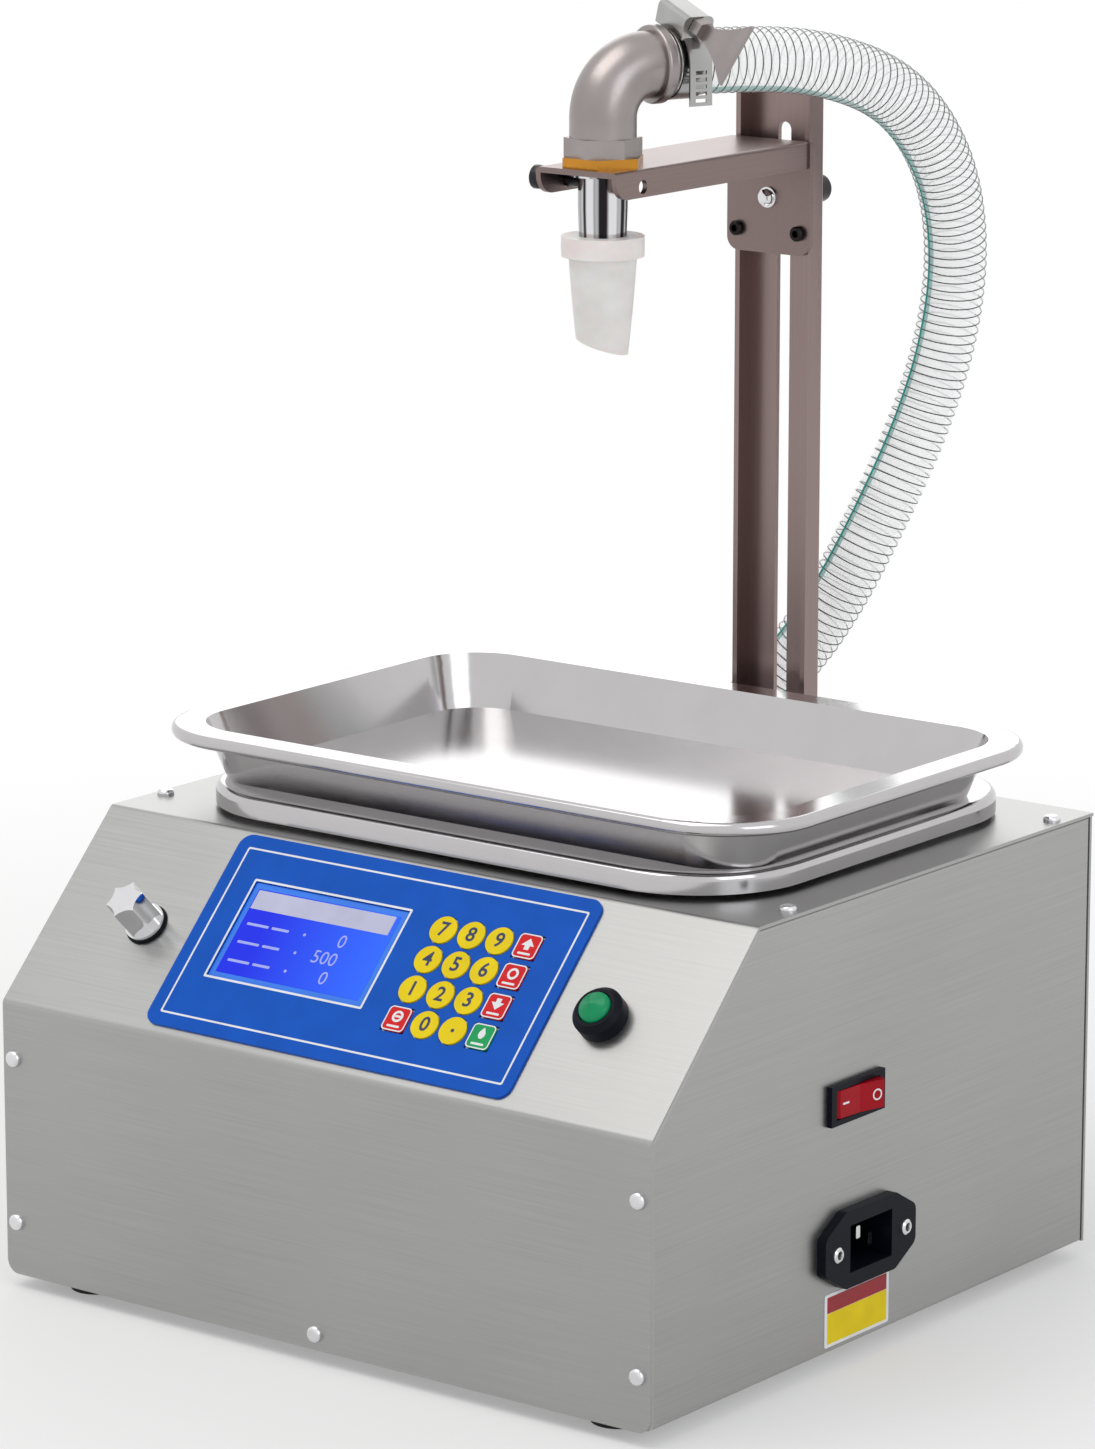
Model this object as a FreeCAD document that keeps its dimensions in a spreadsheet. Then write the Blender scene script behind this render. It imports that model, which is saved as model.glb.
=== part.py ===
import FreeCAD, Part
import math
import os
import Sketcher
from FreeCAD import Placement, Rotation, Vector

# Honey filling machine: a folded steel casing with a keypad on its sloping front, a gear pump
# and its motor inside, a weighing pan and tray on top, and a column behind that carries an
# arm with the filling nozzle. A clear hose joins the pump's outlet at the back to the nozzle.
# Lengths are millimetres. Pieces are described from the casing: x from its middle plane,
# y from its front sheet towards the back, z from the lower edge of its sheets.

SIZES = {
    # casing
    "body_width": 280,
    "body_depth": 258,
    "body_height": 157,
    "slope_rise": 59,
    "slope_angle": 45.5,
    "sheet_metal": 1.2,
    "fold_radius": 1.5,
    "flange_width": 14,
    "seam": 0.5,
    "edge_lift": 0.8,
    "corner_round": 5,
    "pan_wall": 16,
    "clearance": 0.3,
    "foot_height": 5,
    "foot_radius": 11,
    "foot_inset": 26,
    "foot_front_y": 18,
    "foot_back": 46,
    "foot_taper": 1.5,
    # casing screws
    "screw_radius": 1.5,
    "screw_head_radius": 3,
    "screw_head_height": 2,
    "screw_length": 8,
    "screw_inset": 5,
    "screw_low": 19,
    "screw_below": 20,
    "screw_top_front": 81,
    "screw_back": 19,
    "screw_rear_below": 31.5,
    "screw_round": 1.4,
    "vent_length": 22,
    "vent_width": 4,
    "vent_pitch": 9,
    "vent_inset": 38,
    "vent_low": 28,
    "base_vent_left": 86,
    "base_vent_front": 79,
    # keypad and display
    "overlay_left": 77,
    "overlay_right": 79.5,
    "overlay_low": 3.5,
    "overlay_high": 81,
    "overlay_corner": 5,
    "overlay_thickness": 0.9,
    "window_left": 61.5,
    "window_right": 6.3,
    "window_low": 25.3,
    "window_high": 63.7,
    "window_margin": 2,
    "display_overlap": 1.5,
    "board_drop": 4,
    "pillar_inset": 5,
    "pillar_radius": 3,
    "key_first_x": 23.2,
    "key_first_up": 23.6,
    "key_pitch": 11.83,
    "key_radius": 5.2,
    "key_square": 9.3,
    "key_corner": 1.6,
    "key_thickness": 0.9,
    "key_travel": 0.4,
    "key_gap": 0.3,
    "key_stand": 0.1,
    "display_depth": 9,
    "board_thickness": 1.6,
    "board_length": 146,
    "board_width": 66,
    # start switch and speed knob
    "control_up": 39.5,
    "start_ratio": 0.4457,
    "start_collar_radius": 9,
    "start_collar_height": 7,
    "start_barrel_radius": 7.9,
    "start_barrel_length": 24,
    "start_cap_radius": 5.7,
    "start_cap_rise": 3.6,
    "start_travel": 2.5,
    "start_floor": 0.8,
    "start_rim": 1.2,
    "start_cap_edge": 2.4,
    "start_nut_grip": 2.5,
    "start_waist": 4.9,
    "start_gap": 0.2,
    "start_nut_height": 3,
    "knob_ratio": 0.4165,
    "knob_radius": 7.3,
    "knob_height": 16,
    "knob_lift": 0.6,
    "knob_shaft_radius": 3,
    "bushing_radius": 3.9,
    "bushing_height": 5,
    "socket_floor": 3,
    "flute_ratio": 1.72,
    "knob_edge": 0.6,
    "knob_cap": 2,
    "control_can_radius": 8.4,
    "control_can_depth": 9,
    # switch and inlet on the right side
    "rocker_y": 113.6,
    "rocker_z": 87,
    "bezel_length": 31,
    "bezel_width": 14,
    "bezel_thickness": 2,
    "rocker_length": 24.6,
    "rocker_width": 9.6,
    "rocker_rise": 3.2,
    "rocker_swing": 16,
    "switch_lip": 2,
    "switch_side": 1,
    "well_depth": 8,
    "tab_length": 8,
    "tab_plate": 0.8,
    "tab_width": 4.8,
    "rocker_chamfer": 1.5,
    "rocker_keel": 3,
    "rocker_end": 5,
    "rocker_foot": 3.5,
    "rocker_end_play": 0.5,
    "rocker_hollow": 1,
    "switch_depth": 18,
    "inlet_y": 119.7,
    "inlet_z": 36.1,
    "inlet_screw_spacing": 40,
    "inlet_flange": 3.6,
    "inlet_width": 29,
    "inlet_height": 27,
    "inlet_ear_radius": 6.5,
    "inlet_depth": 18,
    "socket_width": 24.5,
    "socket_height": 16.5,
    "socket_side": 1.5,
    "socket_top": 2,
    "socket_back": 2,
    "inlet_corner": 3.5,
    "inlet_screw_hole": 1.7,
    "pin_length": 15,
    "pin_plate": 2,
    "pin_width": 4,
    "pin_spacing": 7,
    "pin_offset": 2,
    # weighing parts
    "pan_back": 98,
    "pan_length": 242,
    "pan_width": 189,
    "pan_corner": 42,
    "pan_rise": 9.2,
    "pan_rim": 7.5,
    "pan_sheet": 1,
    "pan_travel": 0.4,
    "tray_back": 104,
    "tray_length": 268,
    "tray_width": 186,
    "tray_corner": 36,
    "tray_depth": 20,
    "tray_rim": 12,
    "tray_draft": 7,
    "tray_sheet": 0.9,
    "tray_roll": 2.4,
    "roll_edge": 2.25,
    "tray_corner_draft": 4.2,
    "cut_margin": 0.01,
    "post_radius": 14,
    "post_hole_radius": 22,
    "cell_end_gap": 10,
    "cell_width": 30,
    "cell_height": 22,
    "cell_below": 17,
    "carrier_thickness": 6,
    "beam_plate": 3,
    "beam_width": 36,
    "beam_inset": 65,
    "carrier_inset": 2,
    "cell_spacer": 4,
    "cell_hole_radius": 7.9,
    "cell_hole_offset": 13,
    "cell_slot": 6.6,
    "spacer_length": 25,
    "beam_foot": 14,
    # gear pump and motor
    "pump_below": 80,
    "pump_behind": 12,
    "pump_wall": 8,
    "gear_module": 2.5,
    "gear_teeth": 12,
    "gear_width": 24,
    "gear_backlash": 0.5,
    "gear_centres": 30.3,
    "gear_play": 0.2,
    "pressure_angle": 25,
    "root_ratio": 1.25,
    "bearing_floor": 2,
    "tip_play": 0.15,
    "pump_margin": 9,
    "port_depth": 6,
    "cover_plate": 8,
    "cover_foot": 22,
    "cover_foot_plate": 4,
    "shaft_end": 2.5,
    "shaft_stub": 5.5,
    "shaft_reach": 23,
    "shaft_radius": 6,
    "fit_play": 0.05,
    "supply_inset": 6,
    "supply_y": 60,
    "supply_width": 38,
    "supply_length": 110,
    "supply_height": 60,
    "supply_vent_inset": 6,
    "terminal_inset": 4,
    "terminal_depth": 12,
    "terminal_height": 14,
    "supply_rise": 6,
    "board_margin": 3,
    "coil_width": 24,
    "coil_length": 28,
    "coil_height": 26,
    "motor_radius": 30,
    "motor_length": 92,
    "rotor_radius": 4,
    "rotor_length": 13,
    "rotor_gap": 5,
    "rotor_depth": 12,
    "motor_edge": 3,
    "motor_taper": 6,
    "boss_radius": 11,
    "boss_height": 2,
    "coupling_radius": 12,
    "coupling_length": 22,
    "bracket_plate": 3,
    "bracket_side": 6,
    "bracket_foot": 30,
    # rear fittings
    "port_spacing": 84,
    "pipe_radius": 8.5,
    "pipe_bore": 6.5,
    "pipe_bend": 14,
    "fitting_reach": 30,
    "collar_radius": 11,
    "collar_length": 8,
    "outlet_rise": 35,
    "locknut_flat": 24,
    "locknut_height": 5,
    "barb_rise": 1.4,
    "barb_length": 5,
    "barb_pitch": 6,
    "stop_collar": 4,
    "stop_back": 30,
    # column and carriage
    "column_width": 32,
    "column_depth": 9.5,
    "column_plate": 2,
    "column_rise": 242,
    "column_foot": 30,
    "slot_width": 5.6,
    "slot_start": 13,
    "slot_end": 231,
    "bolt_radius": 2.5,
    "bolt_head_radius": 5,
    "bolt_head_height": 3.5,
    "bolt_first": 50,
    "bolt_below": 27,
    "bolt_tail": 7,
    "bolt_nut_flat": 8,
    "bolt_nut_height": 4,
    "arm_rise": 226,
    "arm_width": 34.4,
    "arm_height": 9.6,
    "arm_plate": 2,
    "arm_reach": 115,
    "arm_corner": 7,
    "nozzle_back": 99.7,
    "sight_radius": 2.4,
    "carriage_drop": 41,
    "carriage_plate_width": 36,
    "carriage_corner": 5,
    "slide_gap": 0.3,
    "block_height": 20,
    "block_below": 15,
    "block_play": 0.4,
    "clamp_drop": 21,
    "clamp_knob_radius": 5,
    "clamp_knob_length": 14,
    "clamp_knob_stand": 8,
    "clamp_play": 0.25,
    "bolt_proud": 2.6,
    "bolt_chamfer": 0.5,
    "washer_radius": 6,
    "washer_thickness": 1.2,
    "stem_wall": 1.4,
    "knob_waist": 0.6,
    "knob_shoulder": 1.5,
    "knob_crown": 2,
    # nozzle stack
    "thread_radius": 10.3,
    "nut_flat": 26,
    "nut_height": 3.4,
    "elbow_flat": 23.4,
    "elbow_band": 5.5,
    "elbow_radius": 11.6,
    "elbow_bore": 7,
    "elbow_bend": 17,
    "elbow_rise": 33.5,
    "elbow_reach": 22,
    "elbow_turn": 20,
    "outlet_band_radius": 13.6,
    "outlet_band": 3.5,
    "barb_collar_radius": 12,
    "barb_collar": 2.5,
    "nipple_drop": 31,
    "nipple_radius": 8.6,
    "nipple_tip_radius": 8,
    "nozzle_flange_radius": 14.4,
    "nozzle_flange": 7,
    "nozzle_drop": 24,
    "nozzle_length": 41,
    "nozzle_radius": 11.8,
    "nozzle_wall": 1.6,
    "nozzle_tip_half_width": 10,
    "nozzle_tip_half_depth": 6,
    "nipple_collar": 1.2,
    "collar_step": 1.7,
    "nipple_straight": 12,
    "bore_step": 1,
    "bore_taper": 4,
    "thread_short": 1,
    "elbow_edge": 1,
    "groove_stand": 0.4,
    "groove_radius": 0.7,
    "duck_middle_ratio": 0.62,
    "duck_waist": 0.6,
    "duck_pinch": 1.6,
    "mouth_play": 0.35,
    "slant_angle": 14,
    "slant_rise": 1.9,
    "slant_block": 60,
    "slant_depth": 12,
    "thumb_drop": 6,
    "thumb_radius": 4.2,
    "thumb_length": 11,
    "thumb_shaft_radius": 2.2,
    "thumb_gap": 0.2,
    "thumb_stand": 1.5,
    "thumb_collar": 1,
    "thumb_edge": 0.4,
    "thumb_belly": 2,
    "thumb_swell": 2.5,
    "thumb_round": 0.8,
    # hose and its clamp
    "hose_straight": 61.5,
    "hose_rise": 28.5,
    "hose_radius": 11.5,
    "band_play": 0.3,
    "band_thickness": 0.8,
    "band_width": 10,
    "band_start": 0.5,
    "housing_length": 17,
    "housing_width": 12,
    "housing_height": 8,
    "housing_turn": 18,
    "housing_round": 2.5,
    "key_end_play": 0.2,
    "key_tail": 0.8,
    "key_shaft_radius": 3,
    "key_head_flat": 7,
    "key_head_length": 5,
    "wing_length": 21,
    "wing_width": 22.5,
    "wing_plate": 1.6,
    "tail_width": 9,
    "tail_stand": 2,
    "tail_drop": 13.5,
    "tail_slot": 1.3,
    "tail_rib": 1.1,
    "tail_end": 1.2,
    "tail_arc": 55,
    "tail_lead": 35,
    "wing_turn": -23,
    "wing_root": 1.5,
    "wing_neck": 2.5,
    "wing_flare_ratio": 1.7,
}

doc = FreeCAD.newDocument("HoneyFillingMachine")
dim = doc.addObject("Spreadsheet::Sheet", "Dim")
for row, (alias, size) in enumerate(SIZES.items(), start=1):
    dim.set(f"A{row}", alias)
    dim.set(f"B{row}", str(size))
    dim.setAlias(f"B{row}", alias)
doc.recompute()

# Lengths that follow from the driving ones, as expressions
SHEET = "Dim.sheet_metal"
FRONT_HEIGHT = "(Dim.body_height - Dim.slope_rise)"
SLOPE_RUN = "(Dim.slope_rise / tan(Dim.slope_angle))"
PANEL_X = "(Dim.body_width / 2 - Dim.seam)"
FLOOR_TOP = "(Dim.edge_lift + 2 * Dim.sheet_metal)"
REAR_REACH = "(Dim.fitting_reach + Dim.collar_radius)"
SWITCH_LENGTH = "(Dim.bezel_length - 2 * Dim.switch_lip)"
SWITCH_WIDTH = "(Dim.bezel_width - 2 * Dim.switch_side)"
INLET_LENGTH = "(Dim.socket_width + 2 * Dim.socket_side)"
INLET_HEIGHT = "(Dim.socket_height + 2 * Dim.socket_top)"
SIDE_ROOM = "(Dim.body_width / 2 - Dim.seam - Dim.flange_width)"
START_X = f"(Dim.overlay_right + Dim.start_ratio * ({SIDE_ROOM} - Dim.overlay_right))"
KNOB_X = f"(-Dim.overlay_left - Dim.knob_ratio * ({SIDE_ROOM} - Dim.overlay_left))"
PAN_Y = "(Dim.body_depth - Dim.pan_back)"
TRAY_Y = "(Dim.body_depth - Dim.tray_back)"
NOZZLE_Y = "(Dim.body_depth - Dim.nozzle_back)"
ARM_FRONT = "(Dim.body_depth - Dim.arm_reach)"
PUMP_BACK = "(Dim.body_depth - Dim.pump_behind)"
BEAM_SPAN = "(Dim.body_width - 2 * Dim.beam_inset)"
CELL_LENGTH = f"({BEAM_SPAN} - 2 * Dim.cell_end_gap)"
COLUMN_BOLTS = 3
BOLT_PITCH = f"((Dim.body_height - Dim.bolt_below - Dim.bolt_first) / {COLUMN_BOLTS - 1})"
PUMP_Z = "(Dim.body_height - Dim.pump_below)"
OUTLET_TOP = f"({PUMP_Z} + Dim.outlet_rise)"
PAN_TOP = "(Dim.body_height + Dim.pan_rise)"
CELL_TOP = "(Dim.body_height - Dim.cell_below)"
COLUMN_TOP = "(Dim.body_height + Dim.column_rise)"
SLOT_LOW = "(Dim.body_height + Dim.slot_start)"
SLOT_HIGH = "(Dim.body_height + Dim.slot_end)"
ARM_TOP = "(Dim.body_height + Dim.arm_rise)"
PLATE_BOTTOM = f"({ARM_TOP} - Dim.carriage_drop)"
CLAMP_Z = f"({ARM_TOP} - Dim.clamp_drop)"
THUMB_Z = f"({ARM_TOP} - Dim.thumb_drop)"
ELBOW_HEIGHT = f"({ARM_TOP} + Dim.elbow_rise)"
NIPPLE_BOTTOM = f"({ARM_TOP} - Dim.nipple_drop)"
NOZZLE_TOP = f"({ARM_TOP} - Dim.nozzle_drop)"
NOZZLE_BOTTOM = f"({NOZZLE_TOP} - Dim.nozzle_length)"
FRAME_X = "(-(Dim.bezel_thickness + Dim.rocker_rise) / 2)"
FRAME_Y = f"((Dim.screw_head_height - Dim.body_depth - {REAR_REACH}) / 2)"
FRAME_Z = "Dim.foot_height"
X_AXIS = Vector(1, 0, 0)
Y_AXIS = Vector(0, 1, 0)
Z_AXIS = Vector(0, 0, 1)
finished = []


def number(expression):
    value = dim.evalExpression(str(expression))
    return float(getattr(value, "Value", value))


def place(piece, x="0", y="0", z="0", axis=None, angle="0"):
    """Set a piece at a point of the casing, turned about one axis."""
    if axis is not None:
        piece.Placement = Placement(Vector(), Rotation(axis, 1))
        piece.setExpression("Placement.Rotation.Angle", angle)
    piece.setExpression("Placement.Base.x", f"{FRAME_X} + ({x})")
    piece.setExpression("Placement.Base.y", f"{FRAME_Y} + ({y})")
    piece.setExpression("Placement.Base.z", f"{FRAME_Z} + ({z})")
    return piece


def place_on_slope(piece, across="0", up="0", out="0"):
    """Set a piece on the sloping panel: its z points straight out of the panel."""
    y = f"({up}) * cos(Dim.slope_angle) - ({out}) * sin(Dim.slope_angle)"
    z = f"{FRONT_HEIGHT} + ({up}) * sin(Dim.slope_angle) + ({out}) * cos(Dim.slope_angle)"
    return place(piece, across, y, z, X_AXIS, "Dim.slope_angle")


def spot(x, y, z):
    """The same point as place() gives, as a vector for shapes made by function."""
    return Vector(number(f"{FRAME_X} + ({x})"), number(f"{FRAME_Y} + ({y})"), number(f"{FRAME_Z} + ({z})"))


def primitive(kind, name, **sizes):
    piece = doc.addObject("Part::" + kind, name)
    for size_name, expression in sizes.items():
        piece.setExpression(size_name, expression)
    return piece


def box(name, length, width, height):
    return primitive("Box", name, Length=length, Width=width, Height=height)


def rod(name, radius, height):
    return primitive("Cylinder", name, Radius=radius, Height=height)


def hexagon(name, across_flats, height):
    piece = primitive("Prism", name, Circumradius=f"({across_flats}) / sqrt(3)", Height=height)
    piece.Polygon = 6
    return piece


def fused(name, pieces):
    joined = doc.addObject("Part::MultiFuse", name)
    joined.Shapes = pieces
    return joined


def cut(name, base, tools):
    result = doc.addObject("Part::Cut", name)
    result.Base = base
    result.Tool = tools[0] if len(tools) == 1 else fused(name + "_openings", tools)
    return result


def together(name, pieces):
    group = doc.addObject("Part::Compound", name)
    group.Links = pieces
    return group


def finish(piece, label):
    piece.Label = label
    finished.append(piece)
    return piece


def shaped(label, shape):
    """A piece whose form no feature makes directly: its shape is set by function."""
    piece = doc.addObject("Part::Feature", label + "_form")
    piece.Shape = shape
    return finish(piece, label)


def new_body(name):
    return doc.addObject("PartDesign::Body", name)


def sketch_on(body, name, role, offset="0"):
    plane = next(item for item in body.Origin.OriginFeatures if item.Role == role)
    sketch = body.newObject("Sketcher::SketchObject", name)
    sketch.AttachmentSupport = (plane, [""])
    sketch.MapMode = "FlatFace"
    sketch.setExpression("AttachmentOffset.Base.z", offset)
    return sketch


def pin(sketch, element, point, across, up):
    for kind, expression in (("DistanceX", across), ("DistanceY", up)):
        rule = Sketcher.Constraint(kind, -1, 1, element, point, number(expression))
        index = sketch.addConstraint(rule)
        sketch.setExpression(f"Constraints[{index}]", str(expression))


def outline(sketch, corners):
    first = sketch.GeometryCount
    points = [Vector(number(across), number(up), 0) for across, up in corners]
    for start, end in zip(points, points[1:] + points[:1]):
        sketch.addGeometry(Part.LineSegment(start, end), False)
    for index, (across, up) in enumerate(corners):
        before = first + (index - 1) % len(corners)
        sketch.addConstraint(Sketcher.Constraint("Coincident", before, 2, first + index, 1))
        pin(sketch, first + index, 1, across, up)


def rectangle(sketch, left, low, right, high):
    outline(sketch, [(left, low), (right, low), (right, high), (left, high)])


def circle(sketch, across, up, radius):
    centre = Vector(number(across), number(up), 0)
    element = sketch.addGeometry(Part.Circle(centre, Z_AXIS, number(radius)), False)
    pin(sketch, element, 3, across, up)
    index = sketch.addConstraint(Sketcher.Constraint("Radius", element, number(radius)))
    sketch.setExpression(f"Constraints[{index}]", str(radius))


def pad(body, sketch, length, reverse=False):
    feature = body.newObject("PartDesign::Pad", sketch.Name + "_pad")
    feature.Profile = sketch
    feature.setExpression("Length", length)
    feature.Reversed = reverse
    body.Tip = feature
    doc.recompute()
    return feature


def pocket(body, sketch, depth, reverse=False):
    volume = body.Shape.Volume
    feature = body.newObject("PartDesign::Pocket", sketch.Name + "_pocket")
    feature.Profile = sketch
    feature.setExpression("Length", depth)
    feature.Reversed = reverse
    body.Tip = feature
    doc.recompute()
    if body.Shape.Volume > volume - 0.01:
        raise RuntimeError(f"{sketch.Name} cuts nothing")
    return feature


def revolve(body, sketch, axis="V_Axis"):
    feature = body.newObject("PartDesign::Revolution", sketch.Name + "_turned")
    feature.Profile = sketch
    feature.ReferenceAxis = (sketch, [axis])
    feature.Angle = 360
    body.Tip = feature
    doc.recompute()
    return feature


def round_edges(body, radius, wanted):
    """Round the edges of the body's last feature that wanted() picks."""
    base = body.Tip
    names = [f"Edge{n}" for n, edge in enumerate(base.Shape.Edges, start=1) if wanted(edge)]
    feature = body.newObject("PartDesign::Fillet", f"{body.Name}_round{len(body.Group)}")
    feature.Base = (base, names)
    feature.setExpression("Radius", radius)
    body.Tip = feature
    doc.recompute()
    return feature


def repeated(body, feature, sketch, direction, step, count):
    """Repeat a feature along one axis of its sketch."""
    pattern = body.newObject("PartDesign::LinearPattern", feature.Name + "_row")
    pattern.Originals = [feature]
    pattern.Direction = (sketch, [direction])
    pattern.setExpression("Length", f"({step}) * {count - 1}")
    pattern.Occurrences = count
    body.Tip = pattern
    doc.recompute()
    return pattern


def runs_along(edge, axis):
    if edge.Curve.TypeId != "Part::GeomLine":
        return False
    return abs(abs(edge.tangentAt(edge.FirstParameter).dot(axis)) - 1) < 1e-6


def near(value, target):
    return abs(value - target) < 1e-4


SCREW_X = "(Dim.body_width / 2 - Dim.screw_inset)"


def screw_places():
    """Head seats of the casing's screws: point, and the way each head faces."""
    wall = number(SCREW_X)
    depth = number("Dim.body_depth")
    top = number("Dim.body_height")
    low = number("Dim.screw_low")
    places = []
    for x in (-wall, wall):
        for z in (low, number(f"{FRONT_HEIGHT} - Dim.screw_below")):
            places.append((Vector(x, 0, z), -Y_AXIS))
        for y in (number("Dim.screw_top_front"), depth - number("Dim.screw_back")):
            places.append((Vector(x, y, top), Z_AXIS))
        for z in (low, top - number("Dim.screw_rear_below")):
            places.append((Vector(x, depth, z), Y_AXIS))
    places.append((Vector(0, 0, number("Dim.edge_lift + Dim.screw_inset")), -Y_AXIS))
    return places


def moved(shape):
    """Carry a shape from the casing's own coordinates to the frame of the part."""
    shape.translate(spot("0", "0", "0"))
    return shape


def screw_holes(name):
    """The clearance holes of every casing screw, to be cut from whatever they pass."""
    radius = number("Dim.screw_radius + Dim.clearance / 2")
    lead = number("Dim.screw_head_height")
    reach = number("Dim.screw_length") + 2 * lead
    holes = [
        Part.makeCylinder(radius, reach, point + facing * lead, -facing)
        for point, facing in screw_places()
    ]
    piece = doc.addObject("Part::Feature", name)
    piece.Shape = moved(Part.makeCompound(holes))
    return piece


# Wrap cover: one sheet folded over the front, the slope and the top
def wrap_cover():
    body = new_body("wrap_blank")
    sketch = sketch_on(body, "wrap_profile", "YZ_Plane", "-Dim.body_width / 2")
    slope_end = f"({SLOPE_RUN} + {SHEET} * tan(Dim.slope_angle / 2))"
    slope_start = f"({FRONT_HEIGHT} - {SHEET} * tan(45 - Dim.slope_angle / 2))"
    outline(sketch, [
        ("0", "0"), (SHEET, "0"), (SHEET, slope_start),
        (slope_end, f"Dim.body_height - {SHEET}"), ("Dim.body_depth", f"Dim.body_height - {SHEET}"),
        ("Dim.body_depth", "Dim.body_height"), (SLOPE_RUN, "Dim.body_height"), ("0", FRONT_HEIGHT),
    ])
    pad(body, sketch, "Dim.body_width")
    height = number(FRONT_HEIGHT)
    top = number("Dim.body_height")

    def outer_fold(edge):
        point = edge.CenterOfMass
        at_front = near(point.y, 0) and near(point.z, height)
        at_top = near(point.y, number(SLOPE_RUN)) and near(point.z, top)
        return runs_along(edge, X_AXIS) and (at_front or at_top)

    def inner_fold(edge):
        point = edge.CenterOfMass
        at_front = near(point.y, number(SHEET)) and near(point.z, number(slope_start))
        at_top = near(point.y, number(slope_end)) and near(point.z, top - number(SHEET))
        return runs_along(edge, X_AXIS) and (at_front or at_top)

    def front_corner(edge):
        return runs_along(edge, Y_AXIS) and near(edge.CenterOfMass.z, 0)

    round_edges(body, f"Dim.fold_radius + {SHEET}", outer_fold)
    round_edges(body, "Dim.fold_radius", inner_fold)
    round_edges(body, "Dim.corner_round", front_corner)
    place(body)

    margin = "Dim.clearance"
    deep = f"(4 * {SHEET})"
    window = place_on_slope(
        box("window_opening", "Dim.window_left + Dim.window_right + 2 * Dim.window_margin",
            "Dim.window_high - Dim.window_low + 2 * Dim.window_margin", deep),
        "-Dim.window_left - Dim.window_margin", "Dim.window_low - Dim.window_margin", f"-{deep} / 2")
    start = place_on_slope(rod("start_opening", f"Dim.start_barrel_radius + {margin}", deep),
                           START_X, "Dim.control_up", f"-{deep} / 2")
    speed = place_on_slope(rod("speed_opening", f"Dim.bushing_radius + {margin}", deep),
                           KNOB_X, "Dim.control_up", f"-{deep} / 2")
    post = place(rod("post_opening", "Dim.post_hole_radius", deep), "0", PAN_Y,
                 f"Dim.body_height - {deep} / 2")
    openings = [window, start, speed, post, screw_holes("wrap_screw_holes")]
    finish(cut("wrap_cover", body, openings), "wrap_cover")


# Side panels: flat sheets whose edges are folded in all round, under the wrap cover
def side_panel(label, side):
    body = new_body(label + "_blank")
    corners = [
        (SHEET, "Dim.edge_lift"),
        (SHEET, f"{FRONT_HEIGHT} - {SHEET} * tan(45 - Dim.slope_angle / 2)"),
        (f"{SLOPE_RUN} + {SHEET} * tan(Dim.slope_angle / 2)", f"Dim.body_height - {SHEET}"),
        (f"Dim.body_depth - {SHEET}", f"Dim.body_height - {SHEET}"),
        (f"Dim.body_depth - {SHEET}", "Dim.edge_lift"),
    ]
    inner = [
        (f"2 * {SHEET}", f"Dim.edge_lift + {SHEET}"),
        (f"2 * {SHEET}", f"{FRONT_HEIGHT} - 2 * {SHEET} * tan(45 - Dim.slope_angle / 2)"),
        (f"{SLOPE_RUN} + 2 * {SHEET} * tan(Dim.slope_angle / 2)", f"Dim.body_height - 2 * {SHEET}"),
        (f"Dim.body_depth - 2 * {SHEET}", f"Dim.body_height - 2 * {SHEET}"),
        (f"Dim.body_depth - 2 * {SHEET}", f"Dim.edge_lift + {SHEET}"),
    ]
    outer = sketch_on(body, label + "_outline", "YZ_Plane", f"{side} * {PANEL_X}")
    outline(outer, corners)
    pad(body, outer, "Dim.flange_width", reverse=side > 0)
    wall = number(f"{side} * {PANEL_X}")
    round_edges(body, "Dim.fold_radius",
                lambda edge: all(near(v.Point.x, wall) for v in edge.Vertexes))
    hollow = sketch_on(body, label + "_hollow", "YZ_Plane", f"{side} * ({PANEL_X} - {SHEET})")
    outline(hollow, inner)
    pocket(body, hollow, "Dim.flange_width", reverse=side < 0)
    place(body)
    openings = [screw_holes(label + "_screw_holes")]
    if side > 0:
        play = "Dim.clearance"
        cuts = {
            "rocker_opening": (SWITCH_LENGTH, SWITCH_WIDTH, "Dim.rocker_y", "Dim.rocker_z"),
            "inlet_opening": (INLET_LENGTH, INLET_HEIGHT, "Dim.inlet_y", "Dim.inlet_z"),
        }
        for name, (long, high, y, z) in cuts.items():
            tool = box(name, "Dim.flange_width", f"{long} + 2 * {play}", f"{high} + 2 * {play}")
            openings.append(place(tool, f"{PANEL_X} - Dim.flange_width + {SHEET}",
                                  f"{y} - {long} / 2 - {play}", f"{z} - {high} / 2 - {play}"))
    finish(cut(label, body, openings), label)


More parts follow.
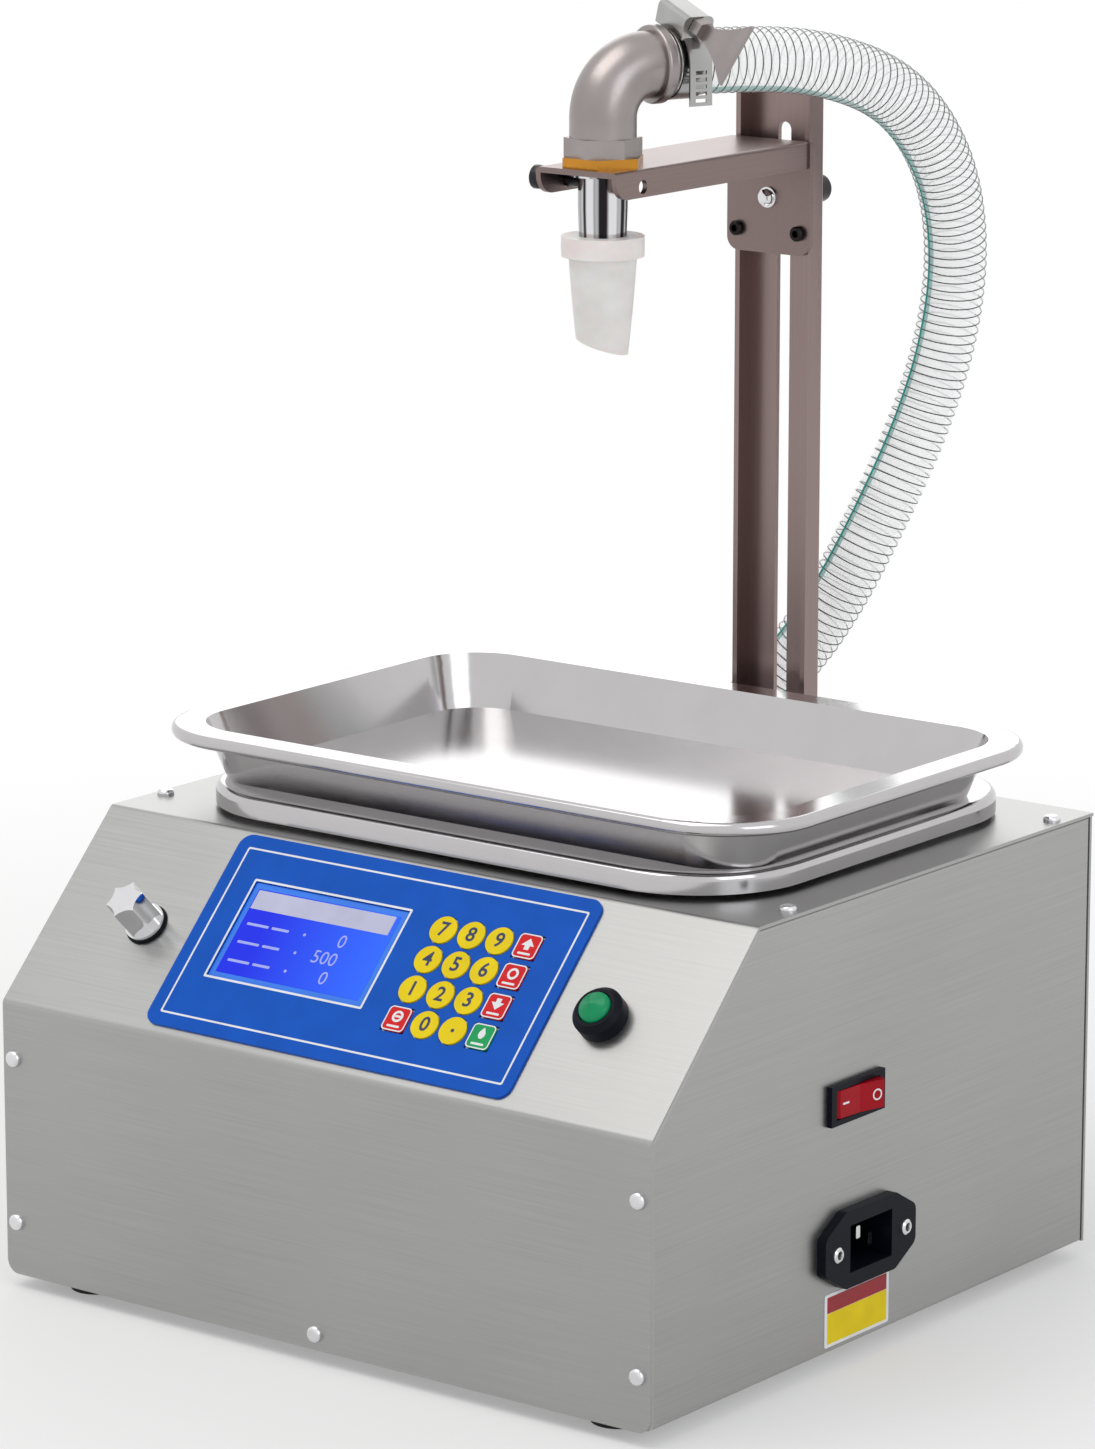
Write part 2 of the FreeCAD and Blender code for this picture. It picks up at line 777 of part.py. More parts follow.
# Rear panel: the flat back, with cooling slots, the fittings' holes and the column's bolt holes
def rear_panel():
    body = new_body("rear_blank")
    sketch = sketch_on(body, "rear_outline", "XZ_Plane", "-Dim.body_depth")
    rectangle(sketch, f"-{PANEL_X}", "Dim.edge_lift", PANEL_X, f"Dim.body_height - {SHEET}")
    for side in (-1, 1):
        circle(sketch, f"{side} * Dim.port_spacing / 2", PUMP_Z, "Dim.pipe_radius + Dim.clearance")
    for level in range(COLUMN_BOLTS):
        circle(sketch, "0", f"Dim.bolt_first + {level} * {BOLT_PITCH}",
               "Dim.bolt_radius + Dim.clearance / 2")
    pad(body, sketch, SHEET)
    vents = 8
    for side, name in ((-1, "left_vent"), (1, "right_vent")):
        slot = sketch_on(body, name, "XZ_Plane", f"-Dim.body_depth + {SHEET}")
        middle = f"{side} * (Dim.body_width / 2 - Dim.vent_inset)"
        rectangle(slot, f"{middle} - Dim.vent_length / 2", "Dim.vent_low",
                  f"{middle} + Dim.vent_length / 2", "Dim.vent_low + Dim.vent_width")
        opened = pocket(body, slot, f"2 * {SHEET}", reverse=False)
        repeated(body, opened, slot, "V_Axis", "Dim.vent_pitch", vents)
    place(body)
    finish(cut("rear_panel", body, [screw_holes("rear_screw_holes")]), "rear_panel")


# Base pan: a shallow tray on the side panels' lower folds
def base_pan():
    body = new_body("base_blank")
    half = f"({PANEL_X} - {SHEET} - Dim.clearance)"
    front = f"(2 * {SHEET} + Dim.clearance)"
    back = f"(Dim.body_depth - 2 * {SHEET} - Dim.clearance)"
    low = f"(Dim.edge_lift + {SHEET})"
    outer = sketch_on(body, "base_outline", "XY_Plane", low)
    rectangle(outer, f"-{half}", front, half, back)
    pad(body, outer, "Dim.pan_wall")
    round_edges(body, "Dim.fold_radius + Dim.sheet_metal", lambda edge: runs_along(edge, Z_AXIS))
    hollow = sketch_on(body, "base_hollow", "XY_Plane", FLOOR_TOP)
    rectangle(hollow, f"-{half} + {SHEET}", f"{front} + {SHEET}", f"{half} - {SHEET}", f"{back} - {SHEET}")
    pocket(body, hollow, "Dim.pan_wall", reverse=True)
    vents = 7
    slot = sketch_on(body, "base_vent", "XY_Plane", FLOOR_TOP)
    rectangle(slot, "-Dim.base_vent_left", "Dim.base_vent_front",
              "-Dim.base_vent_left + Dim.vent_width", "Dim.base_vent_front + 2 * Dim.vent_length")
    opened = pocket(body, slot, f"2 * {SHEET}")
    repeated(body, opened, slot, "H_Axis", "Dim.vent_pitch", vents)
    place(body)
    finish(cut("base_pan", body, [screw_holes("base_screw_holes")]), "base_pan")


def panel_screws():
    screws = []
    for point, facing in screw_places():
        head = number("Dim.screw_head_height")
        radius = number("Dim.screw_head_radius")
        dome = Part.makeCylinder(radius, head, point, facing)
        rim = [edge for edge in dome.Edges if near((edge.CenterOfMass - point).dot(facing), head)]
        dome = dome.makeFillet(number("Dim.screw_round"), rim[:1])
        shank = Part.makeCylinder(number("Dim.screw_radius"), number("Dim.screw_length"), point, -facing)
        screws.append(dome.fuse(shank).removeSplitter())
    shaped("panel_screws", moved(Part.makeCompound(screws)))


# Rubber feet: tapered buttons under the base pan
def rubber_feet():
    body = new_body("foot_form")
    sketch = sketch_on(body, "foot_profile", "XZ_Plane")
    rise = f"(Dim.edge_lift + {SHEET})"
    outline(sketch, [
        ("0", "-Dim.foot_height"), ("Dim.foot_radius - Dim.foot_taper", "-Dim.foot_height"),
        ("Dim.foot_radius", rise), ("0", rise),
    ])
    revolve(body, sketch)
    places = [(x, y) for x in ("-Dim.body_width / 2 + Dim.foot_inset", "Dim.body_width / 2 - Dim.foot_inset")
              for y in ("Dim.foot_front_y", "Dim.body_depth - Dim.foot_back")]
    feet = []
    for index, (x, y) in enumerate(places, start=1):
        foot = doc.addObject("App::Link", f"foot_{index}")
        foot.LinkedObject = body
        foot.LinkTransform = False
        feet.append(place(foot, x, y, "0"))
    finish(together("rubber_feet", feet), "rubber_feet")


wrap_cover()
side_panel("left_side_panel", -1)
side_panel("right_side_panel", 1)
rear_panel()
base_pan()
panel_screws()
rubber_feet()


# Keys of the keypad: column and row in the grid, counted from the lower left
NUMBER_KEYS = {
    "key_0": (1, 0), "key_point": (2, 0),
    "key_1": (0, 1), "key_2": (1, 1), "key_3": (2, 1),
    "key_4": (0, 2), "key_5": (1, 2), "key_6": (2, 2),
    "key_7": (0, 3), "key_8": (1, 3), "key_9": (2, 3),
}
FUNCTION_KEYS = {
    "key_clear": (0, 0), "key_start": (3, 0),
    "key_down": (3, 1), "key_set": (3, 2), "key_up": (3, 3),
}


def key_centre(column, level):
    return f"Dim.key_first_x + {column} * Dim.key_pitch", f"Dim.key_first_up + {level} * Dim.key_pitch"


# Keypad overlay: a thin rounded plate with a window and an opening round each key
def keypad_overlay():
    body = new_body("keypad_overlay")
    sketch = sketch_on(body, "overlay_outline", "XY_Plane")
    rectangle(sketch, "-Dim.overlay_left", "Dim.overlay_low", "Dim.overlay_right", "Dim.overlay_high")
    pad(body, sketch, "Dim.overlay_thickness")
    round_edges(body, "Dim.overlay_corner", lambda edge: runs_along(edge, Z_AXIS))
    openings = sketch_on(body, "overlay_openings", "XY_Plane", "Dim.overlay_thickness")
    rectangle(openings, "-Dim.window_left", "Dim.window_low", "Dim.window_right", "Dim.window_high")
    for place_in_grid in NUMBER_KEYS.values():
        across, up = key_centre(*place_in_grid)
        circle(openings, across, up, "Dim.key_radius + Dim.key_gap")
    half = "(Dim.key_square / 2 + Dim.key_gap)"
    for place_in_grid in FUNCTION_KEYS.values():
        across, up = key_centre(*place_in_grid)
        rectangle(openings, f"{across} - {half}", f"{up} - {half}", f"{across} + {half}", f"{up} + {half}")
    pocket(body, openings, "2 * Dim.overlay_thickness")
    place_on_slope(body)
    finish(body, "keypad_overlay")


# Keys: each a low pad that stands a little proud of the overlay
def keys():
    rest = "(Dim.key_travel + Dim.key_stand)"
    for label, place_in_grid in NUMBER_KEYS.items():
        across, up = key_centre(*place_in_grid)
        disc = rod(label + "_disc", "Dim.key_radius", "Dim.key_thickness")
        place_on_slope(disc, across, up, rest)
        finish(disc, label)
    for label, place_in_grid in FUNCTION_KEYS.items():
        across, up = key_centre(*place_in_grid)
        body = new_body(label)
        sketch = sketch_on(body, label + "_outline", "XY_Plane")
        half = "Dim.key_square / 2"
        rectangle(sketch, f"-{half}", f"-{half}", half, half)
        pad(body, sketch, "Dim.key_thickness")
        round_edges(body, "Dim.key_corner", lambda edge: runs_along(edge, Z_AXIS))
        place_on_slope(body, across, up, rest)
        finish(body, label)


# Display board: a liquid crystal display in a metal frame on the circuit board behind the slope
def display_board():
    middle_x = "((Dim.window_right - Dim.window_left) / 2)"
    middle_up = "((Dim.window_high + Dim.window_low) / 2)"
    length = "(Dim.window_left + Dim.window_right + 2 * Dim.display_overlap)"
    width = "(Dim.window_high - Dim.window_low + 2 * Dim.display_overlap)"
    frame = place_on_slope(box("display_frame", length, width, "Dim.display_depth"),
                           f"{middle_x} - {length} / 2", f"{middle_up} - {width} / 2",
                           f"-{SHEET} / 4 - Dim.display_depth")
    back = f"(-{SHEET} / 4 - Dim.display_depth - Dim.board_thickness)"
    left = "(-Dim.board_length / 2)"
    board_low = f"({middle_up} - Dim.board_width / 2 - Dim.board_drop)"
    board = place_on_slope(box("circuit_board", "Dim.board_length", "Dim.board_width",
                               "Dim.board_thickness"),
                           left, board_low, back)
    pieces = [frame, board]
    post_height = f"(Dim.display_depth - {SHEET} * 3 / 4)"
    for x in (f"{left} + Dim.pillar_inset", f"-{left} - Dim.pillar_inset"):
        for up in (f"{board_low} + Dim.pillar_inset", f"{board_low} + Dim.board_width - Dim.pillar_inset"):
            pillar = rod(f"board_pillar_{len(pieces)}", "Dim.pillar_radius", post_height)
            pieces.append(place_on_slope(pillar, x, up, f"{back} + Dim.board_thickness"))
    # for each chip: its place across and up the board, then its length, width and height
    chips = [("20", "14", "14", "14", "2"), ("44", "10", "24", "9", "5"), ("-60", "12", "10", "40", "8")]
    for x, up, chip_length, chip_width, chip_height in chips:
        chip = box(f"board_chip_{len(pieces)}", chip_length, chip_width, chip_height)
        pieces.append(place_on_slope(chip, x, f"{board_low} + {up}", f"{back} - {chip_height}"))
    finish(fused("display_board", pieces), "display_board")


# Start switch: a round collar outside, a threaded barrel and its nut inside
def start_switch():
    body = new_body("start_collar")
    sketch = sketch_on(body, "start_profile", "XZ_Plane")
    bore = "Dim.start_cap_radius + Dim.clearance"
    floor = "Dim.start_floor"
    outline(sketch, [
        ("0", "-Dim.start_barrel_length"), ("Dim.start_barrel_radius", "-Dim.start_barrel_length"),
        ("Dim.start_barrel_radius", "0"), ("Dim.start_collar_radius", "0"),
        ("Dim.start_collar_radius", "Dim.start_waist"),
        (f"{bore} + Dim.start_rim", "Dim.start_collar_height"), (bore, "Dim.start_collar_height"),
        (bore, floor), ("0", floor),
    ])
    revolve(body, sketch)
    place_on_slope(body, START_X, "Dim.control_up")
    nut = hexagon("start_nut_blank", "2 * (Dim.start_barrel_radius + Dim.start_nut_grip)",
                  "Dim.start_nut_height")
    place_on_slope(nut, START_X, "Dim.control_up", f"-{SHEET} - Dim.start_nut_height")
    finish(fused("start_switch_body", [body, nut]), "start_switch_body")

    cap = new_body("start_button")
    profile = sketch_on(cap, "start_cap_profile", "XZ_Plane")
    foot = f"({floor} + Dim.start_travel + Dim.start_gap)"
    crown = "(Dim.start_collar_height + Dim.start_cap_rise)"
    outline(profile, [
        ("0", foot), ("Dim.start_cap_radius", foot),
        ("Dim.start_cap_radius", f"{crown} - Dim.start_cap_edge"), ("0", crown),
    ])
    revolve(cap, profile)
    low = number(f"{crown} - Dim.start_cap_edge")
    round_edges(cap, "Dim.start_cap_edge - Dim.start_gap",
                lambda edge: near(edge.CenterOfMass.z, low) and edge.Closed)
    place_on_slope(cap, START_X, "Dim.control_up")
    finish(cap, "start_button")


# Speed control: a round can with a threaded bushing, and a tall fluted knob on its shaft
def speed_control():
    body = new_body("speed_potentiometer_turned")
    sketch = sketch_on(body, "potentiometer_profile", "XZ_Plane")
    bore = "Dim.knob_shaft_radius + Dim.fit_play"
    deep = f"(-{SHEET} - Dim.control_can_depth)"
    outline(sketch, [
        ("0", deep), ("Dim.control_can_radius", deep), ("Dim.control_can_radius", f"-{SHEET}"),
        ("Dim.bushing_radius", f"-{SHEET}"), ("Dim.bushing_radius", "Dim.bushing_height"),
        (bore, "Dim.bushing_height"), (bore, f"{deep} + Dim.socket_floor"),
        ("0", f"{deep} + Dim.socket_floor"),
    ])
    revolve(body, sketch)
    place_on_slope(body, KNOB_X, "Dim.control_up")
    finish(body, "speed_potentiometer")

    knob = new_body("speed_knob")
    grip = sketch_on(knob, "knob_outline", "XY_Plane", "Dim.knob_lift")
    circle(grip, "0", "0", "Dim.knob_radius")
    pad(knob, grip, "Dim.knob_height")
    top = number("Dim.knob_lift + Dim.knob_height")
    round_edges(knob, "Dim.knob_edge", lambda edge: near(edge.CenterOfMass.z, top) and edge.Closed)
    flute = sketch_on(knob, "knob_flute", "XY_Plane", "Dim.knob_lift + Dim.knob_height")
    circle(flute, "Dim.knob_radius * Dim.flute_ratio", "0", "Dim.knob_radius")
    cut_flute = pocket(knob, flute, "Dim.knob_height - Dim.knob_cap")
    ring = knob.newObject("PartDesign::PolarPattern", "knob_flutes")
    ring.Originals = [cut_flute]
    ring.Axis = (flute, ["N_Axis"])
    ring.Angle = 360
    ring.Occurrences = 6
    knob.Tip = ring
    doc.recompute()
    socket = sketch_on(knob, "knob_socket", "XY_Plane", "Dim.knob_lift")
    circle(socket, "0", "0", "Dim.bushing_radius + Dim.clearance")
    pocket(knob, socket, "Dim.bushing_height", reverse=True)
    shaft_end = f"({deep} + Dim.socket_floor + Dim.gear_play)"
    shaft = sketch_on(knob, "knob_shaft", "XY_Plane", shaft_end)
    circle(shaft, "0", "0", "Dim.knob_shaft_radius")
    pad(knob, shaft, f"Dim.knob_lift + Dim.knob_height - Dim.knob_cap - {shaft_end}")
    place_on_slope(knob, KNOB_X, "Dim.control_up")
    finish(knob, "speed_knob")


# Mains switch: a bezel and housing through the side panel, and a rocker bent about its pivot
def mains_switch():
    bezel = place(box("switch_bezel", "Dim.bezel_thickness", "Dim.bezel_length", "Dim.bezel_width"), PANEL_X,
                  "Dim.rocker_y - Dim.bezel_length / 2", "Dim.rocker_z - Dim.bezel_width / 2")
    housing = place(box("switch_housing", "Dim.switch_depth", SWITCH_LENGTH, SWITCH_WIDTH),
                    f"{PANEL_X} - Dim.switch_depth", f"Dim.rocker_y - {SWITCH_LENGTH} / 2",
                    f"Dim.rocker_z - {SWITCH_WIDTH} / 2")
    length = "(Dim.rocker_length + 2 * Dim.clearance)"
    width = "(Dim.rocker_width + 2 * Dim.clearance)"
    well = place(box("switch_well", "2 * Dim.well_depth", length, width), f"{PANEL_X} - Dim.well_depth",
                 f"Dim.rocker_y - {length} / 2", f"Dim.rocker_z - {width} / 2")
    body = fused("switch_solid", [bezel, housing])
    tabs = []
    for row in (-1, 0, 1):
        tab = box(f"switch_tab_{row + 1}", "Dim.tab_length", "Dim.tab_plate", "Dim.tab_width")
        tabs.append(place(tab, f"{PANEL_X} - Dim.switch_depth - Dim.tab_length",
                          f"Dim.rocker_y + {row} * Dim.tab_length", "Dim.rocker_z - Dim.tab_width / 2"))
    finish(fused("rocker_switch_body", [cut("switch_cut", body, [well])] + tabs), "rocker_switch_body")

    rocker = new_body("rocker")
    sketch = sketch_on(rocker, "rocker_profile", "XY_Plane", "-Dim.rocker_width / 2")
    half = "(Dim.rocker_length / 2 - Dim.rocker_end_play)"
    tilt = "(Dim.rocker_swing / 2)"
    proud = "(Dim.bezel_thickness + Dim.rocker_rise)"
    dip = f"({proud} - {half} * 2 * tan({tilt}))"
    middle = f"(({proud} + {dip}) / 2 - Dim.rocker_hollow)"
    outline(sketch, [
        ("-Dim.rocker_keel", "0"), (f"{dip} - Dim.rocker_foot", f"-{half}"),
        (f"{dip} - Dim.rocker_chamfer", f"-{half}"), (dip, f"-{half} + Dim.rocker_chamfer"), (middle, "0"),
        (proud, f"{half} - Dim.rocker_chamfer"), (f"{proud} - Dim.rocker_chamfer", half),
        (f"{proud} - Dim.rocker_end", half),
    ])
    pad(rocker, sketch, "Dim.rocker_width")
    place(rocker, PANEL_X, "Dim.rocker_y", "Dim.rocker_z")
    finish(rocker, "rocker")


# Mains inlet: flange with two ears, socket and its three pins
def mains_inlet():
    body = new_body("inlet_flange")
    sketch = sketch_on(body, "inlet_outline", "YZ_Plane", PANEL_X)
    reach = "(Dim.inlet_screw_spacing / 2 + Dim.inlet_ear_radius)"
    ear = "Dim.inlet_ear_radius"
    half_w = "(Dim.inlet_width / 2)"
    half_h = "(Dim.inlet_height / 2)"
    right = [(reach, f"-{ear}"), (reach, ear), (half_w, half_h)]
    corners = [(f"Dim.inlet_y + {y}", f"Dim.inlet_z + {z}") for y, z in [(half_w, f"(-{half_h})")] + right]
    left = [(f"-{half_w}", half_h), (f"-{reach}", ear), (f"-{reach}", f"(-{ear})"),
            (f"-{half_w}", f"(-{half_h})")]
    corners += [(f"Dim.inlet_y + {y}", f"Dim.inlet_z + {z}") for y, z in left]
    outline(sketch, corners)
    for side in (-1, 1):
        circle(sketch, f"Dim.inlet_y + {side} * Dim.inlet_screw_spacing / 2", "Dim.inlet_z",
               "Dim.inlet_screw_hole")
    pad(body, sketch, "Dim.inlet_flange")
    level = number("Dim.inlet_z")
    round_edges(body, "Dim.inlet_corner",
                lambda edge: runs_along(edge, X_AXIS) and abs(edge.CenterOfMass.z - level) > 4)
    place(body)
    housing = place(box("inlet_housing", "Dim.inlet_depth", INLET_LENGTH, INLET_HEIGHT),
                    f"{PANEL_X} - Dim.inlet_depth", f"Dim.inlet_y - {INLET_LENGTH} / 2",
                    f"Dim.inlet_z - {INLET_HEIGHT} / 2")
    socket = place(box("inlet_socket", "Dim.inlet_depth + Dim.inlet_flange", "Dim.socket_width",
                       "Dim.socket_height"),
                   f"{PANEL_X} - Dim.inlet_depth + Dim.socket_back", "Dim.inlet_y - Dim.socket_width / 2",
                   "Dim.inlet_z - Dim.socket_height / 2")
    pins = []
    for column, row in ((-1, -1), (0, 1), (1, -1)):
        blade = box(f"inlet_pin_{len(pins)}", "Dim.pin_length", "Dim.pin_plate", "Dim.pin_width")
        pins.append(place(blade, f"{PANEL_X} - Dim.inlet_depth + Dim.socket_back / 2",
                          f"Dim.inlet_y + {column} * Dim.pin_spacing - Dim.pin_plate / 2",
                          f"Dim.inlet_z + {row} * Dim.pin_offset - Dim.pin_width / 2"))
    hollow = cut("inlet_cut", fused("inlet_solid", [body, housing]), [socket])
    finish(fused("mains_inlet", [hollow] + pins), "mains_inlet")


keypad_overlay()
keys()
display_board()
start_switch()
speed_control()
mains_switch()
mains_inlet()


def rounded_rectangle(sketch, middle_x, middle_y, length, width, radius):
    """A rectangle whose corners are arcs, fully tied to the sizes."""
    first = sketch.GeometryCount
    quarter = math.pi / 2
    signs = [(1, 1), (-1, 1), (-1, -1), (1, -1)]
    centres = []
    for turn, (side_x, side_y) in enumerate(signs):
        across = f"{middle_x} + {side_x} * (({length}) / 2 - ({radius}))"
        up = f"{middle_y} + {side_y} * (({width}) / 2 - ({radius}))"
        centre = Vector(number(across), number(up), 0)
        arc = Part.ArcOfCircle(Part.Circle(centre, Z_AXIS, number(radius)), turn * quarter,
                               (turn + 1) * quarter)
        sketch.addGeometry(arc, False)
        centres.append((across, up))
    for turn in range(4):
        start = sketch.Geometry[first + turn].EndPoint
        end = sketch.Geometry[first + (turn + 1) % 4].StartPoint
        sketch.addGeometry(Part.LineSegment(start, end), False)
    for turn in range(4):
        line = first + 4 + turn
        following = first + (turn + 1) % 4
        sketch.addConstraint(Sketcher.Constraint("Tangent", first + turn, 2, line, 1))
        sketch.addConstraint(Sketcher.Constraint("Tangent", line, 2, following, 1))
    for turn, (across, up) in enumerate(centres):
        pin(sketch, first + turn, 3, across, up)
        index = sketch.addConstraint(Sketcher.Constraint("Radius", first + turn, number(radius)))
        sketch.setExpression(f"Constraints[{index}]", str(radius))


def loft(body, low, high, subtract=False):
    kind = "PartDesign::SubtractiveLoft" if subtract else "PartDesign::AdditiveLoft"
    feature = body.newObject(kind, high.Name + "_loft")
    feature.Profile = low
    feature.Sections = [high]
    body.Tip = feature
    doc.recompute()
    return feature


# Scale pan: a pressed plate with a turned-down rim, its post and the bar on the load cell
def scale_pan():
    body = new_body("scale_pan")
    low = f"({PAN_TOP} - Dim.pan_rim)"
    rim = sketch_on(body, "pan_outline", "XY_Plane", low)
    rounded_rectangle(rim, "0", PAN_Y, "Dim.pan_length", "Dim.pan_width", "Dim.pan_corner")
    pad(body, rim, "Dim.pan_rim")
    top = number(PAN_TOP)
    round_edges(body, "3 * Dim.pan_sheet",
                lambda edge: near(edge.CenterOfMass.z, top) and near(edge.BoundBox.ZLength, 0))
    inner = sketch_on(body, "pan_hollow", "XY_Plane", f"{PAN_TOP} - Dim.pan_sheet")
    rounded_rectangle(inner, "0", PAN_Y, "Dim.pan_length - 3 * Dim.pan_sheet",
                      "Dim.pan_width - 3 * Dim.pan_sheet",
                      "Dim.pan_corner - 1.5 * Dim.pan_sheet")
    pocket(body, inner, "Dim.pan_rim")
    bar_low = f"({CELL_TOP} + Dim.pan_travel + Dim.clearance)"
    post = sketch_on(body, "pan_post", "XY_Plane", bar_low)
    circle(post, "0", PAN_Y, "Dim.post_radius")
    pad(body, post, f"{PAN_TOP} - Dim.pan_sheet / 2 - {bar_low}")
    bar = sketch_on(body, "pan_carrier", "XY_Plane", bar_low)
    rectangle(bar, "-Dim.post_radius", f"{PAN_Y} - Dim.cell_width / 2 + Dim.carrier_inset",
              f"{CELL_LENGTH} / 2", f"{PAN_Y} + Dim.cell_width / 2 - Dim.carrier_inset")
    pad(body, bar, "Dim.carrier_thickness")
    place(body)
    finish(body, "scale_pan")


# Tray: drawn from one sheet, with sloping walls, a flat rim and a rolled edge
def tray():
    body = new_body("tray")
    floor = PAN_TOP
    rim_top = f"({PAN_TOP} + Dim.tray_depth)"
    mouth = ("(Dim.tray_length - 2 * Dim.tray_rim)", "(Dim.tray_width - 2 * Dim.tray_rim)")
    base = (f"({mouth[0]} - 2 * Dim.tray_draft)", f"({mouth[1]} - 2 * Dim.tray_draft)")
    corner = "(Dim.tray_corner - Dim.tray_rim)"
    small = "(Dim.tray_corner - Dim.tray_rim - Dim.tray_corner_draft)"

    def oblong(name, height, size, radius, grow="0"):
        sketch = sketch_on(body, name, "XY_Plane", height)
        grown = [f"{length} + 2 * {grow}" for length in size]
        rounded_rectangle(sketch, "0", TRAY_Y, grown[0], grown[1], f"{radius} + {grow}")
        return sketch

    loft(body, oblong("tray_base", floor, base, small, "Dim.tray_sheet"),
         oblong("tray_mouth", rim_top, mouth, corner, "Dim.tray_sheet"))
    plate = oblong("tray_rim_plate", f"{rim_top} - Dim.tray_sheet", ("Dim.tray_length", "Dim.tray_width"),
                   "Dim.tray_corner")
    pad(body, plate, "Dim.tray_sheet")
    roll = oblong("tray_roll", f"{rim_top} - 2 * Dim.tray_roll", ("Dim.tray_length", "Dim.tray_width"),
                  "Dim.tray_corner")
    roll_inner = "(-2 * Dim.tray_roll)"
    rounded_rectangle(roll, "0", TRAY_Y, f"Dim.tray_length + 2 * {roll_inner}",
                      f"Dim.tray_width + 2 * {roll_inner}",
                      f"Dim.tray_corner + {roll_inner}")
    pad(body, roll, "2 * Dim.tray_roll")
    high = number(rim_top)
    low = number(f"{rim_top} - 2 * Dim.tray_roll")
    reach_x = number("Dim.tray_length / 2")

    def rolled(edge):
        level = near(edge.CenterOfMass.z, high) or near(edge.CenterOfMass.z, low)
        outermost = near(edge.BoundBox.XMax, reach_x) or near(edge.BoundBox.XMin, -reach_x)
        half_y = number("Dim.tray_width / 2")
        middle = number(TRAY_Y)
        outermost = outermost or near(abs(edge.CenterOfMass.y - middle), half_y)
        return level and outermost and near(edge.BoundBox.ZLength, 0)

    round_edges(body, "Dim.roll_edge", rolled)
    loft(body, oblong("tray_floor_inside", f"{floor} + Dim.tray_sheet", base, small),
         oblong("tray_mouth_inside", f"{rim_top} + Dim.cut_margin", mouth, corner), subtract=True)
    place(body)
    finish(body, "tray")


# Load cell: an aluminium bar weakened by two joined holes, so that its free end bends
def load_cell():
    left = f"-{CELL_LENGTH} / 2"
    front = f"{PAN_Y} - Dim.cell_width / 2"
    bar = place(box("cell_bar", CELL_LENGTH, "Dim.cell_width", "Dim.cell_height"), left, front,
                f"{CELL_TOP} - Dim.cell_height")
    middle = f"{CELL_TOP} - Dim.cell_height / 2"
    tools = []
    for side in (-1, 1):
        hole = rod(f"cell_hole_{len(tools)}", "Dim.cell_hole_radius", "Dim.cell_width")
        tools.append(place(hole, f"{side} * Dim.cell_hole_offset", front, middle, X_AXIS, "-90"))
    slot = box("cell_slot", "2 * Dim.cell_hole_offset", "Dim.cell_width", "Dim.cell_slot")
    tools.append(place(slot, "-Dim.cell_hole_offset", front, f"{middle} - Dim.cell_slot / 2"))
    finish(cut("load_cell", bar, tools), "load_cell")


# Scale beam: a strip folded into a bridge over the motor, carrying the load cell's fixed end
def scale_beam():
    body = new_body("beam_strip")
    front = f"({PAN_Y} - Dim.beam_width / 2)"
    sketch = sketch_on(body, "beam_profile", "XZ_Plane", f"-{front}")
    top = f"({CELL_TOP} - Dim.cell_height - Dim.cell_spacer)"
    half = f"{BEAM_SPAN} / 2"
    foot = "Dim.beam_foot"
    plate = "Dim.beam_plate"
    outer = [
        (f"-{half} - {foot}", FLOOR_TOP), (f"-{half} - {foot}", f"{FLOOR_TOP} + {plate}"),
        (f"-{half}", f"{FLOOR_TOP} + {plate}"), (f"-{half}", top), (half, top),
        (half, f"{FLOOR_TOP} + {plate}"), (f"{half} + {foot}", f"{FLOOR_TOP} + {plate}"),
        (f"{half} + {foot}", FLOOR_TOP), (f"{half} - {plate}", FLOOR_TOP),
        (f"{half} - {plate}", f"{top} - {plate}"), (f"-{half} + {plate}", f"{top} - {plate}"),
        (f"-{half} + {plate}", FLOOR_TOP),
    ]
    outline(sketch, outer)
    pad(body, sketch, "Dim.beam_width", reverse=True)
    place(body)
    spacer = place(box("cell_spacer", "Dim.spacer_length", "Dim.cell_width", "Dim.cell_spacer"),
                   f"-{CELL_LENGTH} / 2",
                   f"{PAN_Y} - Dim.cell_width / 2", top)
    finish(fused("scale_beam", [body, spacer]), "scale_beam")


# Gear pump
GEAR_PITCH_RADIUS = "(Dim.gear_module * Dim.gear_teeth / 2)"
GEAR_TIP = f"({GEAR_PITCH_RADIUS} + Dim.gear_module)"
CAVITY = f"({GEAR_TIP} + Dim.tip_play)"
PUMP_FRONT = f"({PUMP_BACK} - Dim.pump_wall - Dim.gear_width - Dim.gear_play)"
PORT_Y = f"(({PUMP_FRONT} + {PUMP_BACK} - Dim.pump_wall) / 2)"
DRIVE_Z = f"({PUMP_Z} - Dim.gear_centres / 2)"
IDLER_Z = f"({PUMP_Z} + Dim.gear_centres / 2)"
PUMP_HALF = f"({CAVITY} + Dim.pump_margin)"


